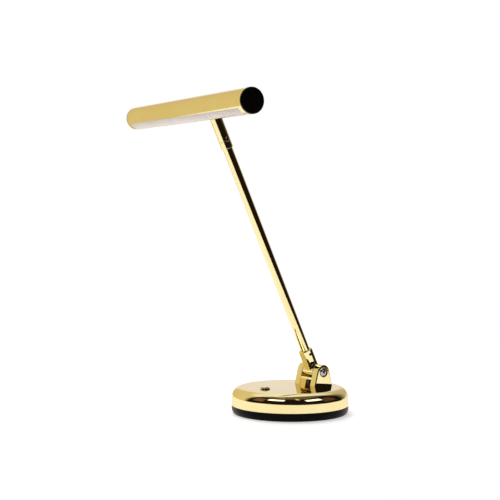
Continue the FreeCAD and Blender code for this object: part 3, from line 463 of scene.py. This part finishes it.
def cheek_ring(inset):
    """Outline of a cheek about its pivot, moved in by an inset: an arc of the head's radius
    less the inset, two sides that leave it at the touch angle, and the foot's straight line."""
    drop = PIVOT_Z - COVER_TOP
    reach = math.hypot(CHEEK_FOOT_HALF, drop)
    touch = math.acos(CHEEK_HEAD / reach) - math.atan2(drop, CHEEK_FOOT_HALF)
    radius = CHEEK_HEAD - inset
    turn = np.linspace(touch, math.pi - touch, 60)
    head = np.stack([radius * np.cos(turn), radius * np.sin(turn)], -1)
    run = (drop + radius * math.sin(touch)) / math.cos(touch)
    foot = head[0] + run * np.array([math.sin(touch), -math.cos(touch)])
    side = head[0] + np.linspace(0, 1, 25)[1:, None] * (foot - head[0])
    across = np.linspace(1, -1, 33)[1:, None] * np.array([foot[0], 0]) + [0, -drop]
    far_side = side[::-1][1:] * [-1, 1]
    return np.concatenate([head[::-1], side, across, far_side])


def cheek_circle(radius):
    """Points of a circle about the pivot, each in line with the outline's point."""
    ring = cheek_ring(0)
    return ring / np.hypot(*ring.T)[:, None] * radius


def ear(side):
    """Grid of a cheek: rings from the bore across the inner face, out over the rounded edge,
    over the outer face, down into the screw's seat and back along the bore."""
    bend = np.linspace(0, math.pi / 2, 10)
    rings = [(cheek_circle(PIVOT_BORE), CHEEK_IN), (cheek_circle(9.5), CHEEK_IN)]
    rings += [(cheek_ring(0.5), CHEEK_IN), (cheek_ring(0.2), CHEEK_IN)]
    rings += [(cheek_ring(0), CHEEK_IN + 0.2), (cheek_ring(0), CHEEK_IN + 0.5)]
    rings += [(cheek_ring(0), CHEEK_OUT - CHEEK_ROUND - 0.25)]
    for angle in bend:
        inset = CHEEK_ROUND * (1 - math.cos(angle))
        rings.append((cheek_ring(inset), CHEEK_OUT - CHEEK_ROUND * (1 - math.sin(angle))))
    rings += [(cheek_ring(CHEEK_ROUND + 0.25), CHEEK_OUT)]
    rings += [(cheek_circle(SCREW_SEAT_RADIUS + 0.6), CHEEK_OUT)]
    rings += [(cheek_circle(SCREW_SEAT_RADIUS + 0.25), CHEEK_OUT)]
    rings += [(cheek_circle(SCREW_SEAT_RADIUS), CHEEK_OUT - 0.25)]
    rings += [(cheek_circle(SCREW_SEAT_RADIUS), SCREW_SEAT_X)]
    rings += [(cheek_circle(PIVOT_BORE), SCREW_SEAT_X)]
    return np.stack([
        np.concatenate([np.full((len(ring), 1), side * x), ring + [PIVOT_Y, PIVOT_Z]], -1)
        for ring, x in rings])


for side, node in ((1, "right_cheek"), (-1, "left_cheek")):
    cheek = skin(node + "_milled", ear(side), loop=True)
    carved(cheek, [
        pin(CHEEK_SCREW_BORE, DRILL_FOOT, CHEEK_SCREW_END, place, 32)
        for place in CHEEK_SCREWS if place[0] * side > 0])
    dressed(cheek, brass, "polished_brass", "base", node)
coat("cheek_screws", bright_zinc)


# Friction washers: two thin rings punched from white nylon. They sit between the cheeks and
# the knuckle and are what holds the arm at any lean.
natural_nylon = finish(
    "natural_nylon", (0.78, 0.77, 0.72), (0.7, 0.69, 0.64), 150.0, (0.35, 0.5),
    (grain, {"Scale": 2000.0}), (0.1, 0.0002), Subsurface_Weight=0.15, Subsurface_Scale=0.001)
coat("friction_washers", natural_nylon)


# Push switch: black housing clamped under the cover, its neck in a bevelled brass ring, with
# a domed brass button on a coil spring. The button is the only part of it that moves.
coat("switch_body", finish(
    "switch_moulding", (0.02, 0.02, 0.021), (0.013, 0.013, 0.014), 200.0, (0.35, 0.5),
    (grain, {"Scale": 2500.0}), (0.15, 0.0002)))

# The coil spring is wound from steel wire. It closes up as the button goes down on it.
SPRING_TURNS = 4
SPRING_RADIUS = 2.4
spring_low, spring_high = (np.array(corner) * 1000 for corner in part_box("switch_spring"))
spring_wire = (spring_high[0] - spring_low[0]) / 2 - SPRING_RADIUS
spring_middle = (spring_low + spring_high) / 2
wound = np.linspace(0, SPRING_TURNS * 2 * math.pi, SPRING_TURNS * 40 + 1)[:, None]
round_wire = np.arange(16) * 2 * math.pi / 16
# The coil's centre line climbs evenly as it turns, and the wire is a circle about that line,
# upright and in line with the coil's axis. At both ends the circle shrinks to a point.
thick = np.full(wound.shape, spring_wire)
thick[[0, -1]] = 0
climb = np.linspace(spring_low[2] + spring_wire, spring_high[2] - spring_wire, len(wound))
climb = climb[:, None]
coil = np.stack([
    (SPRING_RADIUS + thick * np.cos(round_wire)) * np.cos(wound) + spring_middle[0],
    (SPRING_RADIUS + thick * np.cos(round_wire)) * np.sin(wound) + spring_middle[1],
    climb + thick * np.sin(round_wire)], -1)
spring = dressed(skin("button_spring", coil), bright_zinc, "spring_steel", "base",
                 "switch_spring")
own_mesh(spring)

# The ring nut and the button are both turned about the switch's upright axis.
SWITCH_RING_BORE = 5.65
SWITCH_RING_RADIUS = 6.9
SWITCH_RING_TOP = 39.0
SWITCH_RING_BEVEL = 0.65
BUTTON_RADIUS = 4.35
BUTTON_TOP = 40.4
BUTTON_DOME = 0.7
BUTTON_FLANGE_RADIUS = 5.2
BUTTON_FLANGE_TOP = 30.7
BUTTON_FOOT = 29.5
BUTTON_BORE = 3.1
BUTTON_ROOF = 37.4
ring_nut = turned(outline([
    (SWITCH_RING_BORE, COVER_TOP, 0), (SWITCH_RING_RADIUS, COVER_TOP, 0.12),
    (SWITCH_RING_RADIUS, SWITCH_RING_TOP - SWITCH_RING_BEVEL, 0.35),
    (SWITCH_RING_RADIUS - SWITCH_RING_BEVEL, SWITCH_RING_TOP, 0.35),
    (SWITCH_RING_BORE, SWITCH_RING_TOP, 0.12)], ring=True, guard=0.1), 128, (0.0, SWITCH_Y))
dressed(skin("switch_ring", ring_nut, loop=True), brass, "polished_brass", "base", "switch_bezel")
dome_radius = (BUTTON_RADIUS ** 2 + BUTTON_DOME ** 2) / (2 * BUTTON_DOME)
lean = np.linspace(0, math.asin((BUTTON_RADIUS - 0.3) / dome_radius), 14)
dome = np.stack([
    dome_radius * np.sin(lean), BUTTON_TOP - dome_radius * (1 - np.cos(lean))], -1)
stalk = outline([
    (*dome[-1], 0), (BUTTON_RADIUS, 39.72, 0.2), (BUTTON_RADIUS, BUTTON_FLANGE_TOP, 0),
    (BUTTON_FLANGE_RADIUS, BUTTON_FLANGE_TOP, 0.1), (BUTTON_FLANGE_RADIUS, BUTTON_FOOT, 0.1),
    (BUTTON_BORE, BUTTON_FOOT, 0), (BUTTON_BORE, BUTTON_ROOF, 0), (0, BUTTON_ROOF, 0)], steps=5)
button = skin("push_button", turned(np.concatenate([dome, stalk[1:]]), 128, (0.0, SWITCH_Y)))
dressed(button, brass, "polished_brass", "button", "switch_button")


# Pivot screws: two shoulder screws of bright steel with hexagon sockets, one from each side.
# They are threaded into the knuckle and turn with it in the cheeks' bores.
LEAN = math.radians(25.6)
HEAD_RADIUS = 6.6
HEAD_TOP = 22.95
HEAD_SEAT = 19.55
HEAD_FLAT = 3.5
HEAD_SPREAD = 2.9
HEAD_DROP = 1.5
HEAD_SOCKET = 5.0
SHOULDER_RADIUS = 4.0
SHOULDER_END = 11.2
THREAD_RADIUS = 3.0
SCREW_END = 5.0


def on_arm(grid):
    """From the arm's own frame, whose z runs up the tube from the pivot, to the lamp's: a turn
    by the lean about X and a move to the pivot."""
    x, y, z = grid[..., 0], grid[..., 1], grid[..., 2]
    back = y * math.cos(LEAN) - z * math.sin(LEAN)
    up = y * math.sin(LEAN) + z * math.cos(LEAN)
    return np.stack([x, back + PIVOT_Y, up + PIVOT_Z], -1)


def socket_screw(profile, flats, floor, top, columns=96):
    """Grid of a screw about the upright axis whose end at height top has a hexagon socket:
    rings of six flats from a pole on the socket's floor up to its rim, then the profile."""
    turn = np.arange(columns) * 2 * math.pi / columns
    hexagon = flats / 2 / np.cos((turn % (math.pi / 3)) - math.pi / 6)
    rings = [(0 * hexagon, floor), (hexagon * 0.6, floor), (hexagon, floor),
             (hexagon, top - 0.12 * flats / 2), (hexagon * 1.07, top)]
    rings += [(radius * np.ones(columns), height) for radius, height in profile]
    return np.stack([
        np.stack([r * np.cos(turn), r * np.sin(turn), np.full(columns, h)], -1) for r, h in rings])


def join(piece, other):
    """The other piece's mesh added to the first one's, and the other taken away."""
    both = bmesh.new()
    both.from_mesh(piece.data)
    both.from_mesh(other.data)
    both.to_mesh(piece.data)
    both.free()
    bpy.data.objects.remove(other)
    smooth(piece)


bright_nickel = finish(
    "bright_nickel", (0.62, 0.58, 0.57), (0.45, 0.42, 0.42), 250.0, (0.06, 0.12),
    (rubbed, {"Scale": 1200.0}), (0.03, 0.0001), Metallic=1.0)
crown = np.linspace(0, 1, 9)[:, None]
crown = np.concatenate([
    HEAD_FLAT + HEAD_SPREAD * crown, HEAD_TOP - HEAD_DROP * crown ** 2.4], -1)
shank = outline([
    (HEAD_RADIUS, 21.2, 0), (HEAD_RADIUS, HEAD_SEAT, 0.15), (SHOULDER_RADIUS, HEAD_SEAT, 0),
    (SHOULDER_RADIUS, SHOULDER_END, 0), (THREAD_RADIUS, SHOULDER_END, 0),
    (THREAD_RADIUS, SCREW_END, 0.3), (0, SCREW_END, 0)], steps=5)
screw = along_x(socket_screw(
    np.concatenate([crown, shank]), HEAD_SOCKET, HEAD_TOP - 2.2, HEAD_TOP))
pair = skin("pivot_screw_pair", on_arm(screw))
join(pair, skin("pivot_screw_other", on_arm(screw * [-1, 1, 1])))
dressed(pair, bright_nickel, "pivot_steel", "arm", "pivot_screws")


# Knuckle: one piece of brass with a barrel that turns between the cheeks and a square socket
# with bevelled corners that the arm is pushed into. Two grub screws hold the arm.
BARREL_RADIUS = 10.5
BARREL_HALF = 11.2
BLOCK_HALF = 8.25
BLOCK_BEVEL = 2.8
BLOCK_TOP = 34.4
SCREW_FACE_TURN = 1.3
RIDGE_Y = 1.3
SOCKET_BORE = 6.55
SOCKET_FLOOR = 9.5
CABLE_BORE = 3.2
THREAD_BORE = 3.05
THREAD_END = 4.9
GRUB_STATIONS = (14.0, 27.5)
GRUB_BORE = 2.05

barrel = skin("knuckle_cast", along_x(turned(outline([
    (0, -BARREL_HALF, 0), (BARREL_RADIUS, -BARREL_HALF, 0.3), (BARREL_RADIUS, BARREL_HALF, 0.3),
    (0, BARREL_HALF, 0)]), 144)))


def block_ring(inset, height):
    """Square with bevelled corners moved in by an inset: the straight sides stand half less the
    inset from the middle, each corner has a small fillet, and the side of the screws falls
    away from a ridge towards the front."""
    half = BLOCK_HALF - inset
    flat = BLOCK_HALF - BLOCK_BEVEL - inset * math.tan(math.pi / 8)
    fillet = 0.3
    ring = outline([
        (half - SCREW_FACE_TURN, -flat, fillet), (half, RIDGE_Y, fillet), (half, flat, fillet),
        (flat, half, fillet), (-flat, half, fillet),
        (-half, flat, fillet), (-half, -flat, fillet), (-flat, -half, fillet),
        (flat, -half, fillet)], steps=4, guard=0.2, ring=True)
    return np.concatenate([ring, np.full((len(ring), 1), height)], -1)


edge = [(0, 0.0), (0, 0.5), (0, BLOCK_TOP - 1.15), (0, BLOCK_TOP - 0.95)]
edge += [(0.06, BLOCK_TOP - 0.78), (0.72, BLOCK_TOP - 0.08), (0.95, BLOCK_TOP), (1.15, BLOCK_TOP)]
rings = [block_ring(inset, height) for inset, height in edge]
poles = [block_ring(0, height) * [0, 0, 1] for height in (0.0, BLOCK_TOP)]
block = skin("socket_block", np.stack([poles[0], *rings, poles[1]]))
knuckle = carved(barrel, [block], "UNION")
tools = [pin(SOCKET_BORE, SOCKET_FLOOR, 60, columns=96), pin(CABLE_BORE, -30, 9.6, columns=64)]
for side in (1, -1):
    tools.append(pin(
        THREAD_BORE, THREAD_END, 30, lay=lambda grid, side=side: along_x(grid) * [side, 1, 1]))
for station in GRUB_STATIONS:
    tools.append(pin(
        GRUB_BORE, 5.5, 12, lay=lambda grid, at=station: along_x(grid) + (0, 0, at)))
carved(knuckle, tools)


def seated(piece, place):
    """Moves the piece's mesh from a part's own frame to the lamp's, by on_arm or on_shade."""
    points = np.empty(len(piece.data.vertices) * 3)
    piece.data.vertices.foreach_get("co", points)
    points = place(points.reshape(-1, 3) * 1000)
    piece.data.vertices.foreach_set("co", points.ravel() * 0.001)


seated(knuckle, on_arm)
dressed(knuckle, brass, "polished_brass", "arm", "knuckle")

black_oxide = finish(
    "black_oxide", (0.06, 0.058, 0.06), (0.035, 0.034, 0.036), 500.0, (0.25, 0.4),
    (rubbed, {"Scale": 1500.0}), (0.05, 0.0001), Metallic=1.0)
grubs = None
for station in GRUB_STATIONS:
    grub = socket_screw(
        outline([(1.5, 7.65, 0), (2.0, 7.65, 0.25), (2.0, 6.55, 0), (0, 6.55, 0)], guard=0.1),
        2.0, 7.1, 7.65, 48)
    piece = skin("grub_screws", on_arm(along_x(grub) + (0, 0, station)))
    if grubs is None:
        grubs = piece
    else:
        join(grubs, piece)
dressed(grubs, black_oxide, "screw_steel", "arm", "knuckle_screws")


# Arm: a straight thin tube of drawn brass, polished, pushed into the knuckle's socket. A
# two-core cable in a black sheath runs inside it.
ARM_TOP = 354.7
ARM_FOOT = 9.6
ARM_RADIUS = 6.5
ARM_BORE = 5.5
tube = turned(outline([
    (ARM_RADIUS, ARM_TOP, 0), (ARM_RADIUS, ARM_FOOT, 0), (ARM_BORE, ARM_FOOT, 0),
    (ARM_BORE, ARM_TOP, 0)], ring=True), 128)
dressed(skin("long_tube", on_arm(tube), loop=True), brass, "polished_brass", "arm", "arm_tube")
coat("arm_cable", finish(
    "cable_sheath", (0.03, 0.03, 0.03), (0.02, 0.02, 0.02), 200.0, (0.4, 0.55),
    (grain, {"Scale": 1800.0}), (0.15, 0.0002)))


# Swivel: a turned brass collar soldered round the tube's top, and the spindle plugged into the
# tube, whose flange shows as a thin ring above the collar.
COLLAR_RADIUS = 8.0
COLLAR_BORE = 6.55
COLLAR_FOOT = 344.9
collar = turned(outline([
    (COLLAR_RADIUS, ARM_TOP, 0.2), (COLLAR_RADIUS, COLLAR_FOOT, 0.5),
    (COLLAR_BORE, COLLAR_FOOT, 0), (COLLAR_BORE, ARM_TOP, 0)], ring=True), 128)
dressed(skin("swivel_ring", on_arm(collar), loop=True), brass, "polished_brass", "arm",
        "swivel_collar")
coat("swivel_spindle", brass)


# Stem: a brass sleeve that turns on the spindle, coped at its top to fit the shade, with a
# threaded neck inside the shade, a nylon liner, a washer and a nut.
SWIVEL = math.radians(-6.5)
REACH = 404.5
STEM_RADIUS = 8.0
STEM_FOOT = -48.5
STEM_HEAD = -8.0
COPE_RADIUS = 17.05
NECK_RADIUS = 5.0
BUSH_BORE = 6.0
STEM_CABLE_BORE = 3.1
STOP_BORE = 1.55
STOP_Z = -45.1


def on_shade(grid):
    """From the shade's own frame, whose x runs along the shade, to the lamp's: a turn by the
    swivel about z, a move up the arm by its reach, then as the arm goes."""
    x, y, z = grid[..., 0], grid[..., 1], grid[..., 2]
    along = x * math.cos(SWIVEL) - y * math.sin(SWIVEL)
    across = x * math.sin(SWIVEL) + y * math.cos(SWIVEL)
    return on_arm(np.stack([along, across, z + REACH], -1))


sleeve = skin("swivel_sleeve", turned(outline([
    (0, STEM_FOOT, 0), (STEM_RADIUS, STEM_FOOT, 0.2), (STEM_RADIUS, STEM_HEAD, 0),
    (0, STEM_HEAD, 0)]), 128))
carved(sleeve, [pin(COPE_RADIUS, -40, 40, columns=256, lay=along_x)])
carved(sleeve, [pin(NECK_RADIUS, -23.0, -11.0, columns=96)], "UNION")
carved(sleeve, [
    pin(BUSH_BORE, -60, -24.9, columns=96), pin(STEM_CABLE_BORE, -30, 0),
    pin(STOP_BORE, 2, 20, lay=lambda grid: along_x(grid) + (0, 0, STOP_Z))])
seated(sleeve, on_shade)
dressed(sleeve, brass, "polished_brass", "shade", "swivel_stem")
coat("swivel_bush", natural_nylon)
bulge = np.linspace(0, 1, 8)[:, None]
bulge = np.concatenate([1.5 * np.sin(bulge * 1.5), 7.7 - 0.9 * (1 - np.cos(bulge * 1.5))], -1)
stop = turned(np.concatenate([bulge, [(1.5, 6.6), (1.5, 4.1), (1.3, 4.0), (0, 4.0)]]), 48)
dressed(skin("stop_grub", on_shade(along_x(stop) + (0, 0, STOP_Z))), bright_nickel,
        "screw_steel", "shade", "stop_screw")
coat("saddle_washer", zinc)
coat("stem_nut", brass)


# Shade tube: a thin tube of drawn brass, polished, with a long slot milled along its lower
# front for the light and a hole for the stem's neck.
SHADE_RADIUS = 17.0
SHADE_BORE = 15.8
TUBE_NEAR = 99.0
TUBE_FAR = -242.0
SLOT_FACE = math.radians(-90 - 55.5)
SLOT_HALF = math.radians(25.5)
TUBE_TURNS = 240


def channel(turns, outer, inner, stations):
    """Grid of a strip bent about the shade's axis: its section runs out along the turns at the
    outer radius and back at the inner one, and at both ends it closes on its middle line."""
    radii = np.concatenate([outer, inner[::-1]])
    turns = np.concatenate([turns, turns[::-1]])
    middle = (radii + radii[::-1]) / 2
    rows = [(middle, stations[0])] + [(radii, x) for x in stations] + [(middle, stations[-1])]
    return np.stack([
        np.stack([np.full_like(r, x), r * np.cos(turns), r * np.sin(turns)], -1)
        for r, x in rows])


around = np.linspace(
    SLOT_FACE + SLOT_HALF, SLOT_FACE + 2 * math.pi - SLOT_HALF, TUBE_TURNS)
wall = channel(around, np.full(TUBE_TURNS, SHADE_RADIUS), np.full(TUBE_TURNS, SHADE_BORE),
               [TUBE_FAR, TUBE_FAR + 0.3, TUBE_NEAR - 0.3, TUBE_NEAR])
shade = skin("shade_shell", wall)
carved(shade, [pin(NECK_RADIUS + 0.1, -20, -10, columns=64)])
seated(shade, on_shade)
dressed(shade, brass, "polished_brass", "shade", "shade_tube")


# Diffuser: an extruded strip of frosted plastic that fills the slot. A flange along each edge
# holds it from inside.
frosted = finish(
    "frosted_plastic", (0.80, 0.745, 0.725), (0.76, 0.70, 0.685), 30.0, (0.28, 0.4),
    (grain, {"Scale": 1500.0}), (0.08, 0.0002))
FACE_OUT = 16.8
FLANGE_OUT = 15.75
DIFFUSER_IN = 14.5
face_half = SLOT_HALF - 0.1 / SHADE_RADIUS
flange_half = SLOT_HALF + math.radians(2.5)
spread_out = np.concatenate([
    np.linspace(-flange_half, -face_half, 6), np.linspace(-face_half, face_half, 60),
    np.linspace(face_half, flange_half, 6)])
flange = np.full(6, FLANGE_OUT)
outer = np.concatenate([flange, np.full(60, FACE_OUT), flange])
strip = channel(SLOT_FACE + spread_out, outer, np.full(len(outer), DIFFUSER_IN),
                [TUBE_FAR + 0.1, TUBE_FAR + 0.4, TUBE_NEAR - 0.4, TUBE_NEAR - 0.1])
dressed(skin("frosted_strip", on_shade(strip)), frosted, "diffuser_opal", "shade", "diffuser")


# End caps: brass rings turned and polished, each with a split spigot that is pushed into the
# tube, and a black moulded plug with a rounded edge that closes the ring's end.
PLUG_END = 11.8
PLUG_ROUND = 1.4
RING_LENGTH = 9.1
RING_BORE = 14.2
SPIGOT_RADIUS = 15.7
SPIGOT_LENGTH = 8.0
SPIGOT_TURNS = 160
PLUG_RADIUS = SHADE_RADIUS - 0.08
PLUG_SEAT = RING_LENGTH + 0.02
relief = SLOT_HALF + math.radians(5)
tail_turns = np.linspace(
    SLOT_FACE + relief, SLOT_FACE + 2 * math.pi - relief, SPIGOT_TURNS)
black_plug = finish(
    "black_plug", (0.0065, 0.005, 0.0045), (0.0045, 0.0035, 0.003), 60.0, (0.22, 0.32),
    (grain, {"Scale": 2400.0}), (0.08, 0.0002), Specular_IOR_Level=0.25)
for side, node, start in ((1, "near_cap", TUBE_NEAR), (-1, "far_cap", TUBE_FAR)):
    facing = np.array([side, 1, 1])
    tube_end = np.array([start, 0, 0])
    ring_side = outline([
        (RING_BORE, 0, 0), (SHADE_RADIUS, 0, 0.25), (SHADE_RADIUS, RING_LENGTH, 0.15),
        (RING_BORE, RING_LENGTH, 0)], ring=True)
    cap = skin(node + "_ring", on_shade(along_x(turned(ring_side, 192)) * facing + tube_end),
               loop=True)
    tail = channel(tail_turns, np.full(SPIGOT_TURNS, SPIGOT_RADIUS),
                   np.full(SPIGOT_TURNS, RING_BORE),
                   [start - side * SPIGOT_LENGTH, start + side * 0.5])
    join(cap, skin("spigot", on_shade(tail)))
    dressed(cap, brass, "polished_brass", "shade", node)
    plug_side = outline([
        (0, RING_LENGTH - 1.0, 0), (RING_BORE - 0.1, RING_LENGTH - 1.0, 0),
        (RING_BORE - 0.1, PLUG_SEAT, 0), (PLUG_RADIUS, PLUG_SEAT, 0.05),
        (PLUG_RADIUS, PLUG_END, PLUG_ROUND), (0, PLUG_END, 0)], steps=12)
    plug = skin(node + "_plug", on_shade(along_x(turned(plug_side, 192)) * facing + tube_end))
    plug.data.materials.append(black_plug)
    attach(plug, "shade")


# LED light: an extruded aluminium rail across the shade with the white strip of LEDs on it.
# Both are inside the tube, behind the diffuser.
coat("led_channel", finish(
    "extruded_rail", (0.75, 0.76, 0.78), (0.68, 0.69, 0.7), 40.0, (0.3, 0.42),
    (rubbed, {"Scale": 900.0, "Stretch": (0.03, 1.0, 1.0)}), (0.08, 0.0002), Metallic=1.0))
coat("led_strip", finish(
    "white_board", (0.82, 0.82, 0.8), (0.76, 0.76, 0.72), 300.0, (0.35, 0.5),
    (grain, {"Scale": 2500.0}), (0.1, 0.0001)))


# Camera: level, at the height and turn that the photograph was taken from. Its shift puts the
# lamp where it is in the frame.
camera = bpy.data.objects.new("camera", bpy.data.cameras.new("camera"))
camera.data.lens = 71.1
camera.data.sensor_width = 36.0
camera.data.shift_y = -0.00904
camera.location = (1.1018, -0.8557, 0.2358)
camera.rotation_euler = (math.radians(90), 0, math.radians(54.48))
bpy.context.scene.collection.objects.link(camera)
bpy.context.scene.camera = camera


# Floor: a white table whose near edge is a straight line about half a metre in front of the
# lamp. Past it the polished brass mirrors the dark of the room.
# The edge is a closed line round the lamp. Its distance follows the direction, counted in
# degrees from the camera's: a straight line in front, half a metre to the right, far elsewhere.
TABLE_POINTS = 180
CAMERA_TURN = 35.5
LINE_REACH, LINE_TURN = 0.4515, 28.8
LINE_START, LINE_STOP = -40, 45
RIGHT_REACH, RIGHT_STOP = 0.5, 112
WIDE_REACH = 1.35
BEHIND_REACH, BEHIND_START = 1.5, 166
turn = np.arange(TABLE_POINTS) * 2 * math.pi / TABLE_POINTS
heading = (np.degrees(turn) + CAMERA_TURN + 180) % 360 - 180
line = LINE_REACH / np.cos(np.radians(np.clip(heading, LINE_START, LINE_STOP) - LINE_TURN))
reach = np.where(heading > LINE_STOP, RIGHT_REACH, line)
reach = np.where((heading < LINE_START) | (heading > RIGHT_STOP), WIDE_REACH, reach)
reach = np.where(abs(heading) > BEHIND_START, BEHIND_REACH, reach)
edge = np.stack([reach * np.cos(turn), reach * np.sin(turn), 0 * turn], -1)
table_mesh = bpy.data.meshes.new("table")
table_mesh.from_pydata([(0, 0, 0)] + edge.tolist(), [],
                       [(0, k + 1, (k + 1) % TABLE_POINTS + 1) for k in range(TABLE_POINTS)])
table = bpy.data.objects.new("table", table_mesh)
bpy.context.scene.collection.objects.link(table)
table_paint = finish(
    "table_paint", (0.76, 0.745, 0.735), (0.74, 0.725, 0.715), 5.0, (0.6, 0.7),
    (grain, {"Scale": 400.0}), (0.02, 0.0002),
    Emission_Color=(1.0, 1.0, 1.0, 1.0), Emission_Strength=0.5)
table.data.materials.append(table_paint)


# Room and lamp: a pale backdrop, the room in front of it that the brass mirrors, dark behind
# the camera and to its right, and one large soft lamp overhead.
BEHIND_CAMERA = (0.8139, -0.5810, 0)
CAMERA_RIGHT = (0.5810, 0.8139, 0)
WHITE = (1.0, 1.0, 1.0, 1.0)
world = bpy.data.worlds.new("room")
bpy.context.scene.world = world
world.use_nodes = True
tree = world.node_tree
tree.nodes.clear()
gaze = tree.nodes.new("ShaderNodeTexCoord").outputs["Generated"]
split = add(tree, "ShaderNodeSeparateXYZ", {0: gaze})
height = add(tree, "ShaderNodeMath", {0: split.outputs["Z"]}, operation="ARCSINE")
elevation = add(tree, "ShaderNodeMath", {0: height.outputs[0]}, operation="DEGREES")
toward = add(tree, "ShaderNodeVectorMath", {0: gaze, 1: BEHIND_CAMERA},
             operation="DOT_PRODUCT")
rightward = add(tree, "ShaderNodeVectorMath", {0: gaze, 1: CAMERA_RIGHT},
                operation="DOT_PRODUCT")
swing = add(tree, "ShaderNodeMath", {
    0: rightward.outputs["Value"], 1: toward.outputs["Value"]}, operation="ARCTAN2")
azimuth = add(tree, "ShaderNodeMath", {0: swing.outputs[0]}, operation="DEGREES")


def between(value, low, high, below, above):
    """Mask that is 1 between low and high and fades out over the degrees below and above."""
    up = add(tree, "ShaderNodeMapRange", {
        "Value": value, "From Min": low - below, "From Max": low},
        interpolation_type="SMOOTHSTEP")
    down = add(tree, "ShaderNodeMapRange", {
        "Value": value, "From Min": high, "From Max": high + above, "To Min": 1.0,
        "To Max": 0.0}, interpolation_type="SMOOTHSTEP")
    both_ways = add(tree, "ShaderNodeMath", {
        0: up.outputs["Result"], 1: down.outputs["Result"]}, operation="MULTIPLY")
    return both_ways.outputs[0]


def patch(under, colour, azimuths, elevations, fades):
    """Lays a colour over the room between two azimuths, counted to the right from behind the
    camera, and two elevations, with a fade in degrees to the left, right, below and above."""
    mask = add(tree, "ShaderNodeMath", {
        0: between(azimuth.outputs[0], *azimuths, *fades[:2]),
        1: between(elevation.outputs[0], *elevations, *fades[2:])}, operation="MULTIPLY")
    mixed = add(tree, "ShaderNodeMix", {
        0: mask.outputs[0], 6: under, 7: (*colour, 1.0)}, data_type="RGBA")
    return mixed.outputs[2]


# The backdrop. Camera, glossy and transmission rays see it as white.
path = tree.nodes.new("ShaderNodeLightPath")
sharp = add(tree, "ShaderNodeMath", {
    0: path.outputs["Is Camera Ray"], 1: path.outputs["Is Glossy Ray"]}, operation="ADD")
sharp = add(tree, "ShaderNodeMath", {
    0: sharp.outputs[0], 1: path.outputs["Is Transmission Ray"]}, operation="ADD", use_clamp=True)
backdrop = add(tree, "ShaderNodeMix", {
    0: sharp.outputs[0], 6: (0.88, 0.81, 0.77, 1.0), 7: WHITE}, data_type="RGBA")

# What stands round it, each with its colour, azimuths, elevations and fades: the beige wall on
# the left and the one on the right, the dark of the room and its paler ceiling, a brown
# curtain at each side, two windows, and a small lamp between them
room = backdrop.outputs[2]
for thing in (
        ((0.78, 0.67, 0.39), (-162, -80), (-40, 42), (12, 20, 10, 14)),
        ((0.62, 0.55, 0.42), (100, 158), (9, 34), (20, 20, 10, 16)),
        ((0.012, 0.008, 0.006), (-90, 112), (-95, 95), (16, 36, 1, 1)),
        ((0.15, 0.12, 0.09), (-85, 115), (66, 95), (20, 20, 14, 1)),
        ((0.20, 0.10, 0.06), (-80, -62), (22, 44), (6, 6, 6, 6)),
        ((0.10, 0.05, 0.03), (74, 96), (16, 40), (8, 8, 6, 6)),
        ((2.3, 2.35, 2.7), (-51, -17), (39, 49), (4, 4, 3, 4)),
        ((2.3, 2.35, 2.7), (36, 68), (33, 44), (4, 5, 3, 4)),
        ((0.8, 0.62, 0.35), (15, 22), (52, 62), (3, 3, 5, 5))):
    room = patch(room, *thing)
seen = add(tree, "ShaderNodeMix", {
    0: path.outputs["Is Camera Ray"], 6: room, 7: WHITE}, data_type="RGBA")
surround = add(tree, "ShaderNodeBackground", {"Color": seen.outputs[2], "Strength": 1.0})
leave = tree.nodes.new("ShaderNodeOutputWorld")
tree.links.new(surround.outputs[0], leave.inputs["Surface"])

# The lamp hangs a little behind the piano lamp's left and faces its base
LAMP_X, LAMP_Y, LAMP_Z = -0.5, -0.2, 1.9
lamp_data = bpy.data.lights.new("soft_lamp", "AREA")
lamp_data.shape = "DISK"
lamp_data.size = 1.6
lamp_data.energy = 22.0
lamp = bpy.data.objects.new("soft_lamp", lamp_data)
lamp.location = (LAMP_X, LAMP_Y, LAMP_Z)
aim = math.atan2(math.hypot(LAMP_X, LAMP_Y), LAMP_Z)
lamp.rotation_euler = (0, -aim, math.atan2(-LAMP_Y, -LAMP_X))
lamp.visible_glossy = False
bpy.context.scene.collection.objects.link(lamp)

scene = bpy.context.scene
scene.view_settings.view_transform = "Standard"
